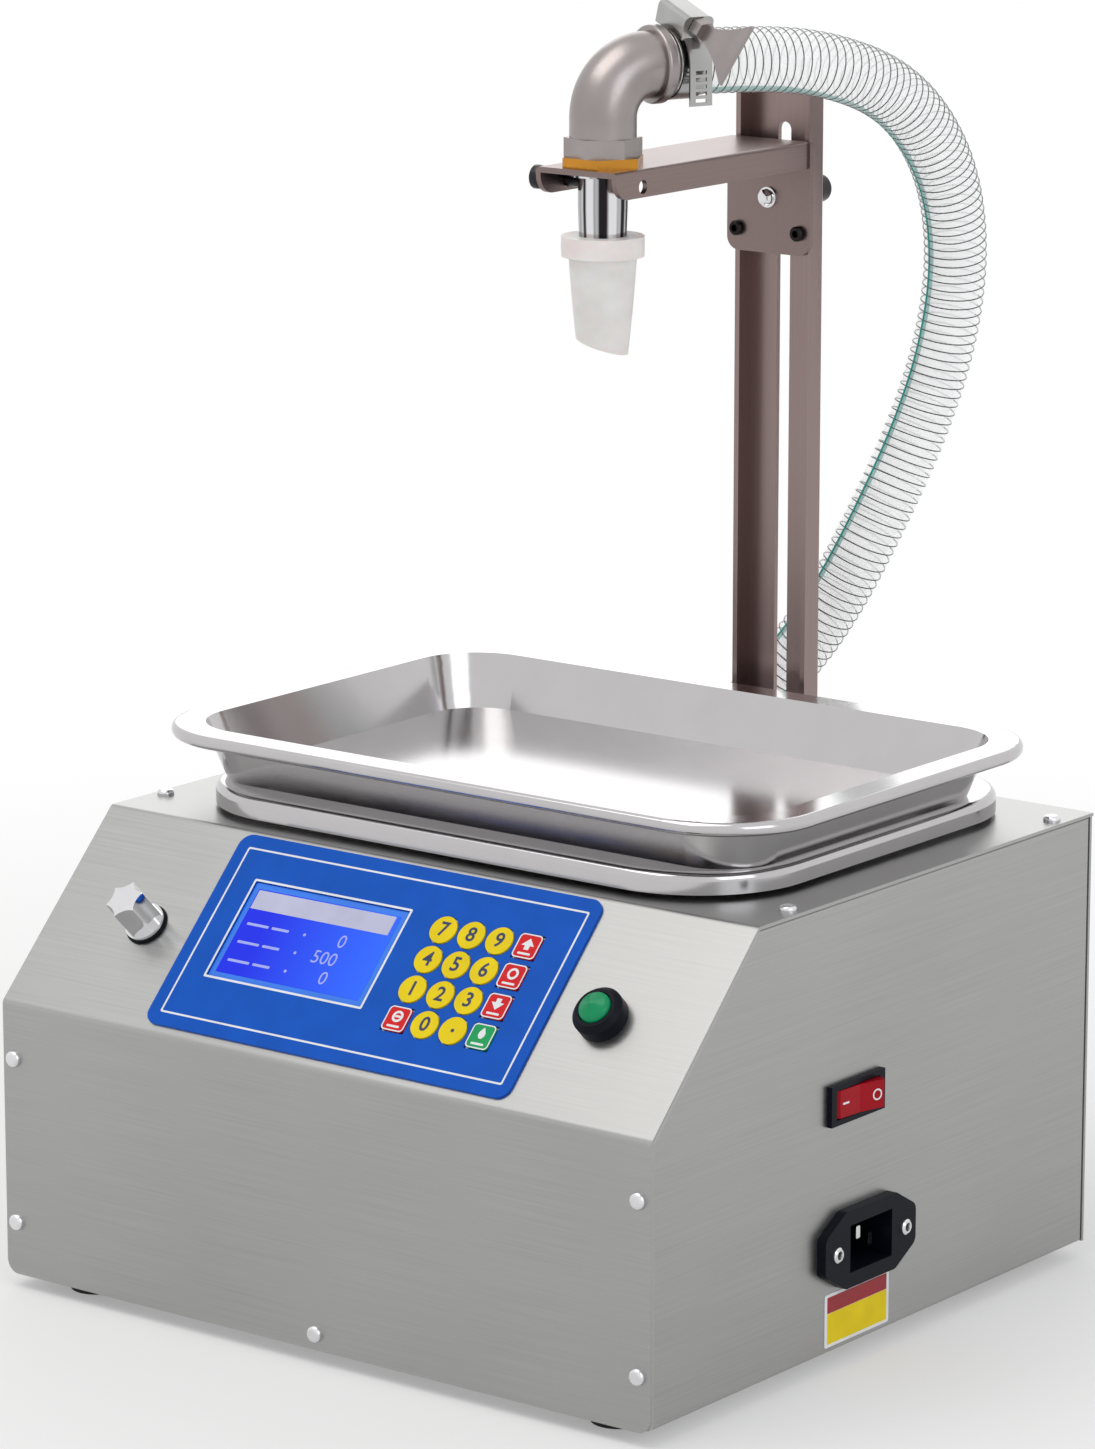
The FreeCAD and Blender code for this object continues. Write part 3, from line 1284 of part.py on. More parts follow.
def pump_body():
    body = new_body("pump_block")
    block = sketch_on(body, "pump_outline", "XZ_Plane", f"-{PUMP_BACK}")
    rounded_rectangle(block, "0", PUMP_Z, f"2 * {PUMP_HALF}", f"2 * {PUMP_HALF} + Dim.gear_centres",
                      "Dim.pump_margin")
    pad(body, block, f"{PUMP_BACK} - {PUMP_FRONT}")
    for name, height in (("drive", DRIVE_Z), ("idler", IDLER_Z)):
        chamber = sketch_on(body, name + "_chamber", "XZ_Plane", f"-{PUMP_FRONT}")
        circle(chamber, "0", height, CAVITY)
        pocket(body, chamber, "Dim.gear_width + Dim.gear_play")
        bearing = sketch_on(body, name + "_bearing", "XZ_Plane", f"-({PUMP_BACK} - Dim.pump_wall)")
        circle(bearing, "0", height, "Dim.shaft_radius + Dim.fit_play")
        pocket(body, bearing, "Dim.pump_wall - Dim.bearing_floor")
    place(body)
    bore = place(rod("port_bore", "Dim.pipe_bore", f"2 * {PUMP_HALF}"), f"-{PUMP_HALF}", PORT_Y,
                 PUMP_Z, Y_AXIS, "90")
    tools = [bore]
    for side in (-1, 1):
        start = f"-{PUMP_HALF}" if side < 0 else f"{PUMP_HALF} - Dim.port_depth"
        thread = rod(f"port_thread_{len(tools)}", "Dim.pipe_radius", "Dim.port_depth")
        tools.append(place(thread, start, PORT_Y, PUMP_Z, Y_AXIS, "90"))
    finish(cut("pump_body", body, tools), "pump_body")


def pump_cover():
    body = new_body("pump_cover")
    thick = "Dim.cover_plate"
    plate = sketch_on(body, "cover_outline", "XZ_Plane", f"-{PUMP_FRONT}")
    rectangle(plate, f"-{PUMP_HALF}", FLOOR_TOP, PUMP_HALF, f"{IDLER_Z} + {PUMP_HALF}")
    circle(plate, "0", DRIVE_Z, "Dim.shaft_radius + Dim.fit_play")
    pad(body, plate, thick)
    bearing = sketch_on(body, "idler_cover_bearing", "XZ_Plane", f"-{PUMP_FRONT}")
    circle(bearing, "0", IDLER_Z, "Dim.shaft_radius + Dim.fit_play")
    pocket(body, bearing, "Dim.cover_plate - Dim.bearing_floor", reverse=True)
    foot = sketch_on(body, "cover_foot", "XY_Plane", FLOOR_TOP)
    rectangle(foot, f"-{PUMP_HALF}", PUMP_FRONT, PUMP_HALF, f"{PUMP_FRONT} + Dim.cover_foot")
    pad(body, foot, "Dim.cover_foot_plate")
    place(body)
    finish(body, "pump_cover")


def gear_outline(module, teeth, backlash, phase):
    """Closed wire of an involute spur gear about the z axis, with a tooth centred at phase."""
    pressure = math.radians(number("Dim.pressure_angle"))
    pitch = module * teeth / 2
    base = pitch * math.cos(pressure)
    tip = pitch + module
    root = pitch - number("Dim.root_ratio") * module
    involute = math.tan(pressure) - pressure
    half_tooth = math.pi / (2 * teeth) - backlash / (4 * pitch) + involute

    def flank(radius):
        angle = math.acos(min(1, base / radius))
        return half_tooth - (math.tan(angle) - angle)

    def at(radius, angle):
        return Vector(radius * math.cos(angle), radius * math.sin(angle), 0)

    edges = []
    step = 2 * math.pi / teeth
    middle = (base + tip) / 2
    for tooth in range(teeth):
        centre = phase + tooth * step
        foot_1 = at(root, centre - flank(base))
        start_1 = at(base, centre - flank(base))
        end_1 = at(tip, centre - flank(tip))
        start_2 = at(tip, centre + flank(tip))
        end_2 = at(base, centre + flank(base))
        foot_2 = at(root, centre + flank(base))
        next_foot = at(root, centre + step - flank(base))
        edges.append(Part.makeLine(foot_1, start_1))
        edges.append(Part.Arc(start_1, at(middle, centre - flank(middle)), end_1).toShape())
        edges.append(Part.Arc(end_1, at(tip, centre), start_2).toShape())
        edges.append(Part.Arc(start_2, at(middle, centre + flank(middle)), end_2).toShape())
        edges.append(Part.makeLine(end_2, foot_2))
        edges.append(Part.Arc(foot_2, at(root, centre + step / 2), next_foot).toShape())
    return Part.Wire(edges)


def gear(label, height, phase, shaft_front):
    """A toothed wheel in one piece with its shaft, lying along y."""
    teeth = int(number("Dim.gear_teeth"))
    wire = gear_outline(number("Dim.gear_module"), teeth, number("Dim.gear_backlash"), phase)
    width = number("Dim.gear_width")
    wheel = Part.Face(wire).extrude(Vector(0, 0, width))
    wheel_front = number(f"{PUMP_FRONT} + Dim.gear_play / 2")
    shaft_back = number(f"{PUMP_BACK} - Dim.shaft_end")
    radius = number("Dim.shaft_radius")
    shaft = Part.makeCylinder(radius, shaft_back - shaft_front, Vector(0, 0, shaft_front - wheel_front))
    solid = wheel.fuse(shaft).removeSplitter()
    solid.Placement = Placement(spot("0", wheel_front, height), Rotation(X_AXIS, -90))
    return shaped(label, solid)


def pump_gears():
    coupling_middle = f"({PUMP_BACK} - Dim.pump_wall - Dim.gear_width - Dim.shaft_reach)"
    gear("drive_gear", DRIVE_Z, math.pi / 2, number(coupling_middle))
    teeth = int(number("Dim.gear_teeth"))
    gear("idler_gear", IDLER_Z, math.pi / 2 + (math.pi / teeth if teeth % 2 == 0 else 0),
         number(f"{PUMP_FRONT} - Dim.shaft_stub"))
    return coupling_middle


scale_pan()
tray()
load_cell()
scale_beam()
pump_body()
pump_cover()
COUPLING_Y = pump_gears()


# Motor, its bracket, and the coupling to the pump's driving shaft
def drive_train():
    rotor_front = f"({COUPLING_Y} - Dim.coupling_length / 2)"
    plate_back = f"({rotor_front} - Dim.rotor_gap)"
    plate_front = f"({plate_back} - Dim.bracket_plate)"
    body = new_body("motor_turned")
    sketch = sketch_on(body, "motor_profile", "YZ_Plane")
    start = f"({plate_front} - Dim.motor_length)"
    bore = "(Dim.rotor_radius + Dim.fit_play)"
    axis = DRIVE_Z
    rim = f"({axis} + Dim.motor_radius)"
    boss = f"({plate_back} + Dim.boss_height)"
    deep = f"({plate_back} - Dim.rotor_depth)"
    outline(sketch, [
        (start, axis), (start, f"{rim} - Dim.motor_edge"), (f"{start} + Dim.motor_taper", rim),
        (plate_front, rim), (plate_front, f"{axis} + Dim.boss_radius"), (boss, f"{axis} + Dim.boss_radius"),
        (boss, f"{axis} + {bore}"), (deep, f"{axis} + {bore}"), (deep, axis),
    ])
    turned = body.newObject("PartDesign::Revolution", "motor_turned_form")
    reach = number("Dim.motor_radius")
    ends = [Vector(0, number(axis), 0), Vector(reach, number(axis), 0)]
    line = sketch.addGeometry(Part.LineSegment(*ends), True)
    sketch.addConstraint(Sketcher.Constraint("Horizontal", line))
    pin(sketch, line, 1, "0", axis)
    pin_end = sketch.addConstraint(Sketcher.Constraint("DistanceX", -1, 1, line, 2, reach))
    sketch.setExpression(f"Constraints[{pin_end}]", "Dim.motor_radius")
    turned.Profile = sketch
    turned.ReferenceAxis = (sketch, ["Axis0"])
    turned.Angle = 360
    body.Tip = turned
    doc.recompute()
    place(body)
    finish(body, "pump_motor")

    bracket = new_body("motor_bracket")
    half = "(Dim.motor_radius + Dim.bracket_side)"
    upright = sketch_on(bracket, "bracket_upright", "XZ_Plane", f"-{plate_back}")
    rectangle(upright, f"-{half}", FLOOR_TOP, half, f"{axis} + Dim.motor_radius")
    circle(upright, "0", axis, "Dim.boss_radius + 2 * Dim.fit_play")
    pad(bracket, upright, "Dim.bracket_plate")
    foot = sketch_on(bracket, "bracket_foot", "XY_Plane", FLOOR_TOP)
    rectangle(foot, f"-{half}", f"{plate_back} - Dim.bracket_foot", half, plate_back)
    pad(bracket, foot, "Dim.bracket_plate")
    place(bracket)
    finish(bracket, "motor_bracket")

    sleeve = new_body("coupling_sleeve")
    profile = sketch_on(sleeve, "coupling_profile", "XY_Plane")
    low = "-Dim.coupling_length / 2"
    high = "Dim.coupling_length / 2"
    shaft = "(Dim.shaft_radius + Dim.fit_play)"
    outline(profile, [
        ("0", f"{low} - Dim.rotor_length"), ("Dim.rotor_radius", f"{low} - Dim.rotor_length"),
        ("Dim.rotor_radius", low),
        ("Dim.coupling_radius", low), ("Dim.coupling_radius", high), (shaft, high), (shaft, "0"), ("0", "0"),
    ])
    revolve(sleeve, profile)
    place(sleeve, "0", COUPLING_Y, axis)
    finish(sleeve, "shaft_coupling")


# Power supply: a ventilated metal case on the base pan, beside the motor, with its terminal block
def power_supply():
    left = "(-Dim.body_width / 2 + Dim.supply_inset)"
    middle = "(Dim.supply_y + Dim.supply_length / 2)"
    case = box("supply_case", "Dim.supply_width", "Dim.supply_length", "Dim.supply_height")
    place(case, left, "Dim.supply_y", FLOOR_TOP)
    block = box("supply_terminals", "Dim.supply_width - 2 * Dim.terminal_inset", "Dim.terminal_depth",
                "Dim.terminal_height")
    place(block, f"{left} + Dim.terminal_inset", "Dim.supply_y + Dim.supply_length",
          f"{FLOOR_TOP} + Dim.supply_rise")
    hollow = box("supply_hollow", f"Dim.supply_width - 2 * {SHEET}", f"Dim.supply_length - 2 * {SHEET}",
                 f"Dim.supply_height - 2 * {SHEET}")
    place(hollow, f"{left} + {SHEET}", f"Dim.supply_y + {SHEET}", f"{FLOOR_TOP} + {SHEET}")
    tools = [hollow]
    vents = 9
    for row in range(vents):
        vent = box(f"supply_vent_{row}", "Dim.supply_width - 2 * Dim.supply_vent_inset", "Dim.vent_width",
                   f"4 * {SHEET}")
        y = f"{middle} + {row - vents // 2} * Dim.vent_pitch - Dim.vent_width / 2"
        tools.append(place(vent, f"{left} + Dim.supply_vent_inset", y,
                           f"{FLOOR_TOP} + Dim.supply_height - 2 * {SHEET}"))
    board = box("supply_board", f"Dim.supply_width - 2 * {SHEET}",
                "Dim.supply_length - 2 * Dim.board_margin",
                "Dim.board_thickness")
    place(board, f"{left} + {SHEET}", "Dim.supply_y + Dim.board_margin", f"{FLOOR_TOP} + Dim.supply_rise")
    coil = box("supply_transformer", "Dim.coil_width", "Dim.coil_length", "Dim.coil_height")
    place(coil, f"{left} + Dim.supply_width / 2 - Dim.coil_width / 2", f"{middle} - Dim.coil_length / 2",
          f"{FLOOR_TOP} + Dim.supply_rise + Dim.board_thickness / 2")
    finish(fused("power_supply", [cut("supply_shell", case, tools), block, board, coil]), "power_supply")


def rounded_path(points, radii):
    """Straight runs joined by tangent arcs of the given radii at the inner points."""
    edges = []
    start = points[0]
    for index in range(1, len(points) - 1):
        before = (points[index - 1] - points[index]).normalize()
        after = (points[index + 1] - points[index]).normalize()
        turn = math.pi - before.getAngle(after)
        setback = radii[index - 1] * math.tan(turn / 2)
        first = points[index] + before * setback
        last = points[index] + after * setback
        bisector = (before + after).normalize()
        centre = points[index] + bisector * (radii[index - 1] / math.cos(turn / 2))
        middle = centre - bisector * radii[index - 1]
        edges.append(Part.LineSegment(start, first).toShape())
        edges.append(Part.Arc(first, middle, last).toShape())
        start = last
    edges.append(Part.LineSegment(start, points[-1]).toShape())
    return Part.Wire(edges)


def swept(path, radius):
    """A round solid along a path."""
    edge = path.Edges[0]
    start = edge.valueAt(edge.FirstParameter)
    heading = edge.tangentAt(edge.FirstParameter)
    profile = Part.Wire(Part.makeCircle(radius, start, heading))
    return path.makePipeShell([profile], True, True)


def nut_round(point, axis, across_flats, height, bore):
    """A hexagon nut with a round hole."""
    nut = Part.makePolygon([
        Vector(across_flats / math.sqrt(3) * math.cos(k * math.pi / 3),
               across_flats / math.sqrt(3) * math.sin(k * math.pi / 3), 0)
        for k in range(7)
    ])
    solid = Part.Face(nut).extrude(Vector(0, 0, height)).cut(Part.makeCylinder(bore, height))
    solid.Placement = Placement(point, Rotation(Z_AXIS, axis))
    return solid


# Rear fittings: bent pipes from the pump's ports through the rear panel, each with its locknut
def rear_fittings():
    radius = number("Dim.pipe_radius")
    bore = number("Dim.pipe_bore")
    x = number("Dim.port_spacing / 2")
    y = number(PORT_Y)
    z = number(PUMP_Z)
    panel = number("Dim.body_depth")
    reach = number("Dim.fitting_reach")
    bend = number("Dim.pipe_bend")
    collar = number("Dim.collar_radius")
    collar_length = number("Dim.collar_length")
    into = number(f"{PUMP_HALF} - Dim.port_depth")
    top = number(OUTLET_TOP)
    barb_rise = number("Dim.barb_rise")
    barb_length = number("Dim.barb_length")
    barb_pitch = number("Dim.barb_pitch")
    stop_back = number("Dim.stop_back")
    end_y = panel + number(REAR_REACH)
    routes = {
        "outlet_fitting": [Vector(-into, y, z), Vector(-x, y, z), Vector(-x, panel + reach, z),
                           Vector(-x, panel + reach, top)],
        "inlet_fitting": [Vector(into, y, z), Vector(x, y, z), Vector(x, end_y, z)],
    }
    for label, points in routes.items():
        path = rounded_path(points, [bend] * (len(points) - 2))
        pipe = swept(path, radius)
        heading = (points[-1] - points[-2]).normalize()
        end = points[-1]
        if label == "outlet_fitting":
            pieces = [Part.makeCylinder(collar, collar_length, end - heading * collar_length, heading)]
        else:
            first = barb_pitch - barb_length
            tops = [end - heading * (barb_pitch * k + first) for k in range(4)]
            pieces = [Part.makeCone(radius, radius + barb_rise, barb_length, top, -heading) for top in tops]
            stop = Part.makeCylinder(collar, number("Dim.stop_collar"), end - heading * stop_back, heading)
            pieces.append(stop)
        side = points[1].x
        flat = number("Dim.locknut_flat")
        height = number("Dim.locknut_height")
        pieces.append(nut_round(Vector(side, panel, z), Y_AXIS, flat, height, bore))
        whole = pipe.multiFuse(pieces)
        inside = swept(path, bore)
        shaped(label, moved(whole.cut(inside).removeSplitter()))


# Column: a channel open to the front, with a long slot in its web, bolted to the rear panel
def column():
    body = new_body("column_channel")
    sketch = sketch_on(body, "column_profile", "XY_Plane", "Dim.column_foot")
    half = "(Dim.column_width / 2)"
    plate = "Dim.column_plate"
    front = "Dim.body_depth"
    back = "(Dim.body_depth + Dim.column_depth)"
    outline(sketch, [
        (f"-{half}", front), (f"-{half} + {plate}", front), (f"-{half} + {plate}", f"{back} - {plate}"),
        (f"{half} - {plate}", f"{back} - {plate}"), (f"{half} - {plate}", front), (half, front),
        (half, back), (f"-{half}", back),
    ])
    pad(body, sketch, f"{COLUMN_TOP} - Dim.column_foot")
    far = number(back)
    round_edges(body, "Dim.fold_radius",
                lambda edge: runs_along(edge, Z_AXIS) and near(edge.CenterOfMass.y, far))
    place(body)
    deep = "Dim.column_depth"
    ahead = f"({back} - 2 * {plate})"
    slot = place(box("column_slot", "Dim.slot_width", deep, f"{SLOT_HIGH} - {SLOT_LOW} - Dim.slot_width"),
                 "-Dim.slot_width / 2", ahead, f"{SLOT_LOW} + Dim.slot_width / 2")
    tools = [slot]
    for height in (f"{SLOT_LOW} + Dim.slot_width / 2", f"{SLOT_HIGH} - Dim.slot_width / 2"):
        end = rod(f"slot_end_{len(tools)}", "Dim.slot_width / 2", deep)
        tools.append(place(end, "0", ahead, height, X_AXIS, "-90"))
    for level in range(COLUMN_BOLTS):
        hole = rod(f"column_hole_{level}", "Dim.bolt_radius + Dim.clearance / 2", deep)
        tools.append(place(hole, "0", ahead, f"Dim.bolt_first + {level} * {BOLT_PITCH}", X_AXIS, "-90"))
    finish(cut("column", body, tools), "column")

    bolts = []
    y = number("Dim.body_depth")
    depth = number("Dim.column_depth")
    web = number(f"Dim.column_depth - {plate}")
    radius = number("Dim.bolt_radius")
    head = number("Dim.bolt_head_radius")
    head_height = number("Dim.bolt_head_height")
    inside = number(SHEET)
    tail = number("Dim.bolt_tail")
    nut_flat = number("Dim.bolt_nut_flat")
    nut_height = number("Dim.bolt_nut_height")
    for level in range(COLUMN_BOLTS):
        z = number(f"Dim.bolt_first + {level} * {BOLT_PITCH}")
        seat = Vector(0, y + depth, z)
        shank = Part.makeCylinder(radius, depth + inside + tail, Vector(0, y - inside - tail, z), Y_AXIS)
        cap = Part.makeCylinder(head, head_height, seat, Y_AXIS)
        sleeve = Part.makeCylinder(head, web, Vector(0, y, z), Y_AXIS)
        nut = nut_round(Vector(0, y - inside - nut_height, z), Y_AXIS, nut_flat, nut_height, radius / 2)
        bolts.append(shank.multiFuse([cap, sleeve, nut]).removeSplitter())
    shaped("column_bolts", moved(Part.makeCompound(bolts)))


CARRIAGE_BACK = "(Dim.body_depth - Dim.slide_gap)"
ARM_LOW = f"({ARM_TOP} - Dim.arm_height)"


# Arm: an inverted channel, with the carriage plate across its rear end
def arm():
    body = new_body("arm_channel")
    sketch = sketch_on(body, "arm_profile", "XZ_Plane", f"-({CARRIAGE_BACK} - Dim.arm_plate)")
    half = "(Dim.arm_width / 2)"
    plate = "Dim.arm_plate"
    outline(sketch, [
        (f"-{half}", ARM_LOW), (f"-{half} + {plate}", ARM_LOW),
        (f"-{half} + {plate}", f"{ARM_TOP} - {plate}"),
        (f"{half} - {plate}", f"{ARM_TOP} - {plate}"), (f"{half} - {plate}", ARM_LOW), (half, ARM_LOW),
        (half, ARM_TOP), (f"-{half}", ARM_TOP),
    ])
    pad(body, sketch, f"{CARRIAGE_BACK} - {plate} - {ARM_FRONT}")
    low = number(ARM_LOW)
    top = number(ARM_TOP)
    front = number(ARM_FRONT)

    def nose(edge):
        middle = edge.CenterOfMass
        return runs_along(edge, X_AXIS) and near(middle.y, front) and near(middle.z, low)

    def shoulder(edge):
        return runs_along(edge, Y_AXIS) and near(edge.CenterOfMass.z, top)

    round_edges(body, "Dim.arm_corner", nose)
    round_edges(body, "Dim.fold_radius", shoulder)
    plate_sketch = sketch_on(body, "carriage_outline", "XZ_Plane", f"-{CARRIAGE_BACK}")
    rectangle(plate_sketch, "-Dim.carriage_plate_width / 2", PLATE_BOTTOM,
              "Dim.carriage_plate_width / 2", f"{ARM_TOP} - Dim.seam")
    pad(body, plate_sketch, plate)
    bottom = number(PLATE_BOTTOM)
    base = body.Tip
    corners = [f"Edge{n}" for n, edge in enumerate(base.Shape.Edges, start=1)
               if runs_along(edge, Y_AXIS) and near(edge.CenterOfMass.z, bottom)]
    rounding = body.newObject("PartDesign::Fillet", "carriage_corners")
    rounding.Base = (base, corners)
    rounding.setExpression("Radius", "Dim.carriage_corner")
    body.Tip = rounding
    doc.recompute()
    place(body)
    long = f"4 * {plate}"
    seat = f"{ARM_TOP} - 2 * {plate}"
    tools = [
        place(rod("nozzle_hole", "Dim.thread_radius + Dim.fit_play", long), "0", NOZZLE_Y, seat),
        place(rod("thumb_hole", "Dim.thumb_shaft_radius + Dim.clearance", long), f"-{half} - {plate}",
              NOZZLE_Y, THUMB_Z, Y_AXIS, "90"),
        place(rod("sight_hole", "Dim.sight_radius", long), f"{half} - 2 * {plate}", NOZZLE_Y, THUMB_Z,
              Y_AXIS, "90"),
        place(rod("carriage_bolt_hole", "Dim.bolt_radius + Dim.clearance", long), "0",
              f"{CARRIAGE_BACK} - 2 * {plate}", CLAMP_Z, X_AXIS, "-90"),
    ]
    finish(cut("arm", body, tools), "arm")

    width = "(Dim.column_width - 2 * Dim.column_plate - 2 * Dim.block_play)"
    depth = "(Dim.slide_gap + Dim.column_depth - Dim.column_plate - Dim.block_play)"
    low = f"({CLAMP_Z} - Dim.block_below)"
    block = box("slide_block_blank", width, depth, "Dim.block_height")
    place(block, f"-{width} / 2", CARRIAGE_BACK, low)
    hole = rod("block_hole", "Dim.bolt_radius + Dim.clearance", f"Dim.column_depth + 2 * {plate}")
    place(hole, "0", f"{CARRIAGE_BACK} - {plate}", CLAMP_Z, X_AXIS, "-90")
    finish(cut("slide_block", block, [hole]), "slide_block")


# Column knob: the clamping bolt through plate, block and slot, with a washer and a knob behind
def column_knob():
    body = new_body("column_knob")
    sketch = sketch_on(body, "column_knob_profile", "YZ_Plane")
    front = f"({CARRIAGE_BACK} - Dim.arm_plate - Dim.bolt_proud)"
    web = "(Dim.body_depth + Dim.column_depth + Dim.clamp_play)"
    knob = f"({web} + Dim.clamp_knob_stand)"
    end = f"({knob} + Dim.clamp_knob_length)"
    radius = "Dim.bolt_radius"
    grip = "Dim.clamp_knob_radius"
    washer = f"({web} + Dim.washer_thickness)"
    stem = f"({radius} + Dim.stem_wall)"
    outline(sketch, [
        (front, "0"), (front, f"{radius} - Dim.bolt_chamfer"), (f"{front} + Dim.bolt_chamfer", radius),
        (web, radius), (web, "Dim.washer_radius"), (washer, "Dim.washer_radius"), (washer, stem),
        (knob, stem),
        (knob, f"{grip} - Dim.knob_waist"), (f"{knob} + Dim.knob_shoulder", grip),
        (f"{end} - Dim.knob_crown", grip), (end, f"{grip} - Dim.knob_crown"), (end, "0"),
    ])
    revolve(body, sketch, "H_Axis")
    place(body, "0", "0", CLAMP_Z)
    finish(body, "column_knob")


# Nozzle knob: a thumb screw through the arm's left flange that bears on the nipple
def nozzle_knob():
    body = new_body("nozzle_knob")
    sketch = sketch_on(body, "nozzle_knob_profile", "XZ_Plane")
    tip = "(-Dim.nipple_radius - Dim.thumb_gap)"
    seat = "(-Dim.arm_width / 2 - Dim.thumb_stand)"
    shaft = "Dim.thumb_shaft_radius"
    grip = "Dim.thumb_radius"
    collar = f"{shaft} + Dim.thumb_collar"
    neck = f"({seat} - Dim.thumb_collar)"
    end = f"({seat} - Dim.thumb_length)"
    outline(sketch, [
        (tip, "0"), (tip, shaft), (seat, shaft), (seat, collar), (neck, collar),
        (f"{neck} - Dim.thumb_edge", grip),
        (f"{neck} - Dim.thumb_edge - Dim.thumb_belly", grip),
        (f"{seat} - Dim.thumb_length / 2", f"{grip} - Dim.knob_waist"), (f"{end} + Dim.thumb_swell", grip),
        (f"{end} + Dim.thumb_round", grip), (end, f"{grip} - Dim.thumb_collar"), (end, "0"),
    ])
    revolve(body, sketch, "H_Axis")
    place(body, "0", NOZZLE_Y, THUMB_Z)
    finish(body, "nozzle_knob")


# Nozzle stack
def nozzle_stack():
    nut = place(hexagon("lock_nut_blank", "Dim.nut_flat", "Dim.nut_height"), "0", NOZZLE_Y, ARM_TOP)
    hole = place(rod("lock_nut_hole", "Dim.thread_radius + Dim.fit_play", "Dim.nut_height"), "0", NOZZLE_Y,
                 ARM_TOP)
    finish(cut("brass_lock_nut", nut, [hole]), "brass_lock_nut")

    body = new_body("fill_nipple")
    sketch = sketch_on(body, "nipple_profile", "XZ_Plane")
    under = f"({ARM_TOP} - Dim.arm_plate)"
    thread_top = f"({ARM_TOP} + Dim.nut_height + Dim.elbow_band - Dim.thread_short)"
    shoulder = "Dim.thread_radius + Dim.collar_step"
    narrow = "Dim.elbow_bore - Dim.bore_step"
    outline(sketch, [
        ("Dim.elbow_bore", thread_top), ("Dim.thread_radius", thread_top), ("Dim.thread_radius", under),
        (shoulder, under), (shoulder, f"{under} - Dim.nipple_collar"),
        ("Dim.nipple_radius", f"{under} - Dim.nipple_collar"),
        ("Dim.nipple_radius", f"{under} - Dim.nipple_straight"),
        ("Dim.nipple_tip_radius", NIPPLE_BOTTOM), (narrow, NIPPLE_BOTTOM),
        (narrow, under), ("Dim.elbow_bore", f"{under} + Dim.bore_taper"),
    ])
    revolve(body, sketch)
    place(body, "0", NOZZLE_Y, "0")
    finish(body, "fill_nipple")

    elbow = new_body("elbow_body")
    base = f"({ARM_TOP} + Dim.nut_height)"
    ring = sketch_on(elbow, "elbow_section", "XY_Plane", f"{base} + Dim.elbow_band")
    circle(ring, "0", "0", "Dim.elbow_radius")
    spine = sketch_on(elbow, "elbow_spine", "YZ_Plane")
    low = Vector(0, number(f"{base} + Dim.elbow_band"), 0)
    bend = number("Dim.elbow_bend")
    height = number(ELBOW_HEIGHT)
    reach = number("Dim.elbow_reach")
    centre = Vector(bend, height - bend, 0)
    spine.addGeometry(Part.LineSegment(low, Vector(0, height - bend, 0)), False)
    spine.addGeometry(Part.ArcOfCircle(Part.Circle(centre, Z_AXIS, bend), math.pi / 2, math.pi), False)
    spine.addGeometry(Part.LineSegment(Vector(bend, height, 0), Vector(reach, height, 0)), False)
    spine.addConstraint(Sketcher.Constraint("Tangent", 0, 2, 1, 2))
    spine.addConstraint(Sketcher.Constraint("Tangent", 1, 1, 2, 1))
    pin(spine, 0, 1, "0", f"{base} + Dim.elbow_band")
    pin(spine, 1, 3, "Dim.elbow_bend", f"{ELBOW_HEIGHT} - Dim.elbow_bend")
    pin(spine, 2, 2, "Dim.elbow_reach", ELBOW_HEIGHT)
    pipe = elbow.newObject("PartDesign::AdditivePipe", "elbow_pipe")
    pipe.Profile = ring
    pipe.Spine = (spine, [])
    elbow.Tip = pipe
    doc.recompute()
    band = sketch_on(elbow, "outlet_band", "XZ_Plane", "-Dim.elbow_reach")
    circle(band, "0", ELBOW_HEIGHT, "Dim.outlet_band_radius")
    pad(elbow, band, "Dim.outlet_band")
    edge_y = number("Dim.elbow_reach - Dim.outlet_band")
    wide = number("2 * Dim.outlet_band_radius")
    round_edges(elbow, "Dim.elbow_edge",
                lambda edge: near(edge.CenterOfMass.y, edge_y) and edge.BoundBox.XLength > 0.98 * wide)
    bore_ring = sketch_on(elbow, "elbow_bore_section", "XY_Plane", f"{base} + Dim.elbow_band")
    circle(bore_ring, "0", "0", "Dim.elbow_bore")
    passage = elbow.newObject("PartDesign::SubtractivePipe", "elbow_passage")
    passage.Profile = bore_ring
    passage.Spine = (spine, [])
    elbow.Tip = passage
    doc.recompute()
    place(elbow, "0", NOZZLE_Y, "0", Z_AXIS, "-Dim.elbow_turn")
    flats = hexagon("elbow_hexagon", "Dim.elbow_flat", "Dim.elbow_band + Dim.elbow_edge")
    place(flats, "0", NOZZLE_Y, base, Z_AXIS, "-Dim.elbow_turn")
    socket = place(rod("elbow_socket", "Dim.thread_radius + Dim.fit_play", "Dim.elbow_band"), "0",
                   NOZZLE_Y, base)
    bore = place(rod("elbow_rise", "Dim.elbow_bore", "Dim.elbow_band"), "0", NOZZLE_Y, base)
    finish(cut("elbow", fused("elbow_solid", [elbow, cut("elbow_foot", flats, [bore])]), [socket]), "elbow")

    collar = rod("barb_collar_disc", "Dim.barb_collar_radius", "Dim.barb_collar")
    place_on_outlet(collar, "Dim.elbow_reach")
    hole = place_on_outlet(rod("barb_bore", "Dim.elbow_bore", "Dim.barb_collar"), "Dim.elbow_reach")
    groove = primitive("Torus", "barb_groove", Radius1="Dim.barb_collar_radius + Dim.groove_stand",
                       Radius2="Dim.groove_radius")
    place_on_outlet(groove, "Dim.elbow_reach + Dim.barb_collar / 2")
    finish(cut("hose_barb", collar, [hole, groove]), "hose_barb")


def outlet_axes():
    """Directions at the elbow's outlet: up, towards the right side, and out of the outlet."""
    turn = math.radians(number("Dim.elbow_turn"))
    outward = Vector(math.sin(turn), math.cos(turn), 0)
    return Z_AXIS, outward.cross(Z_AXIS), outward


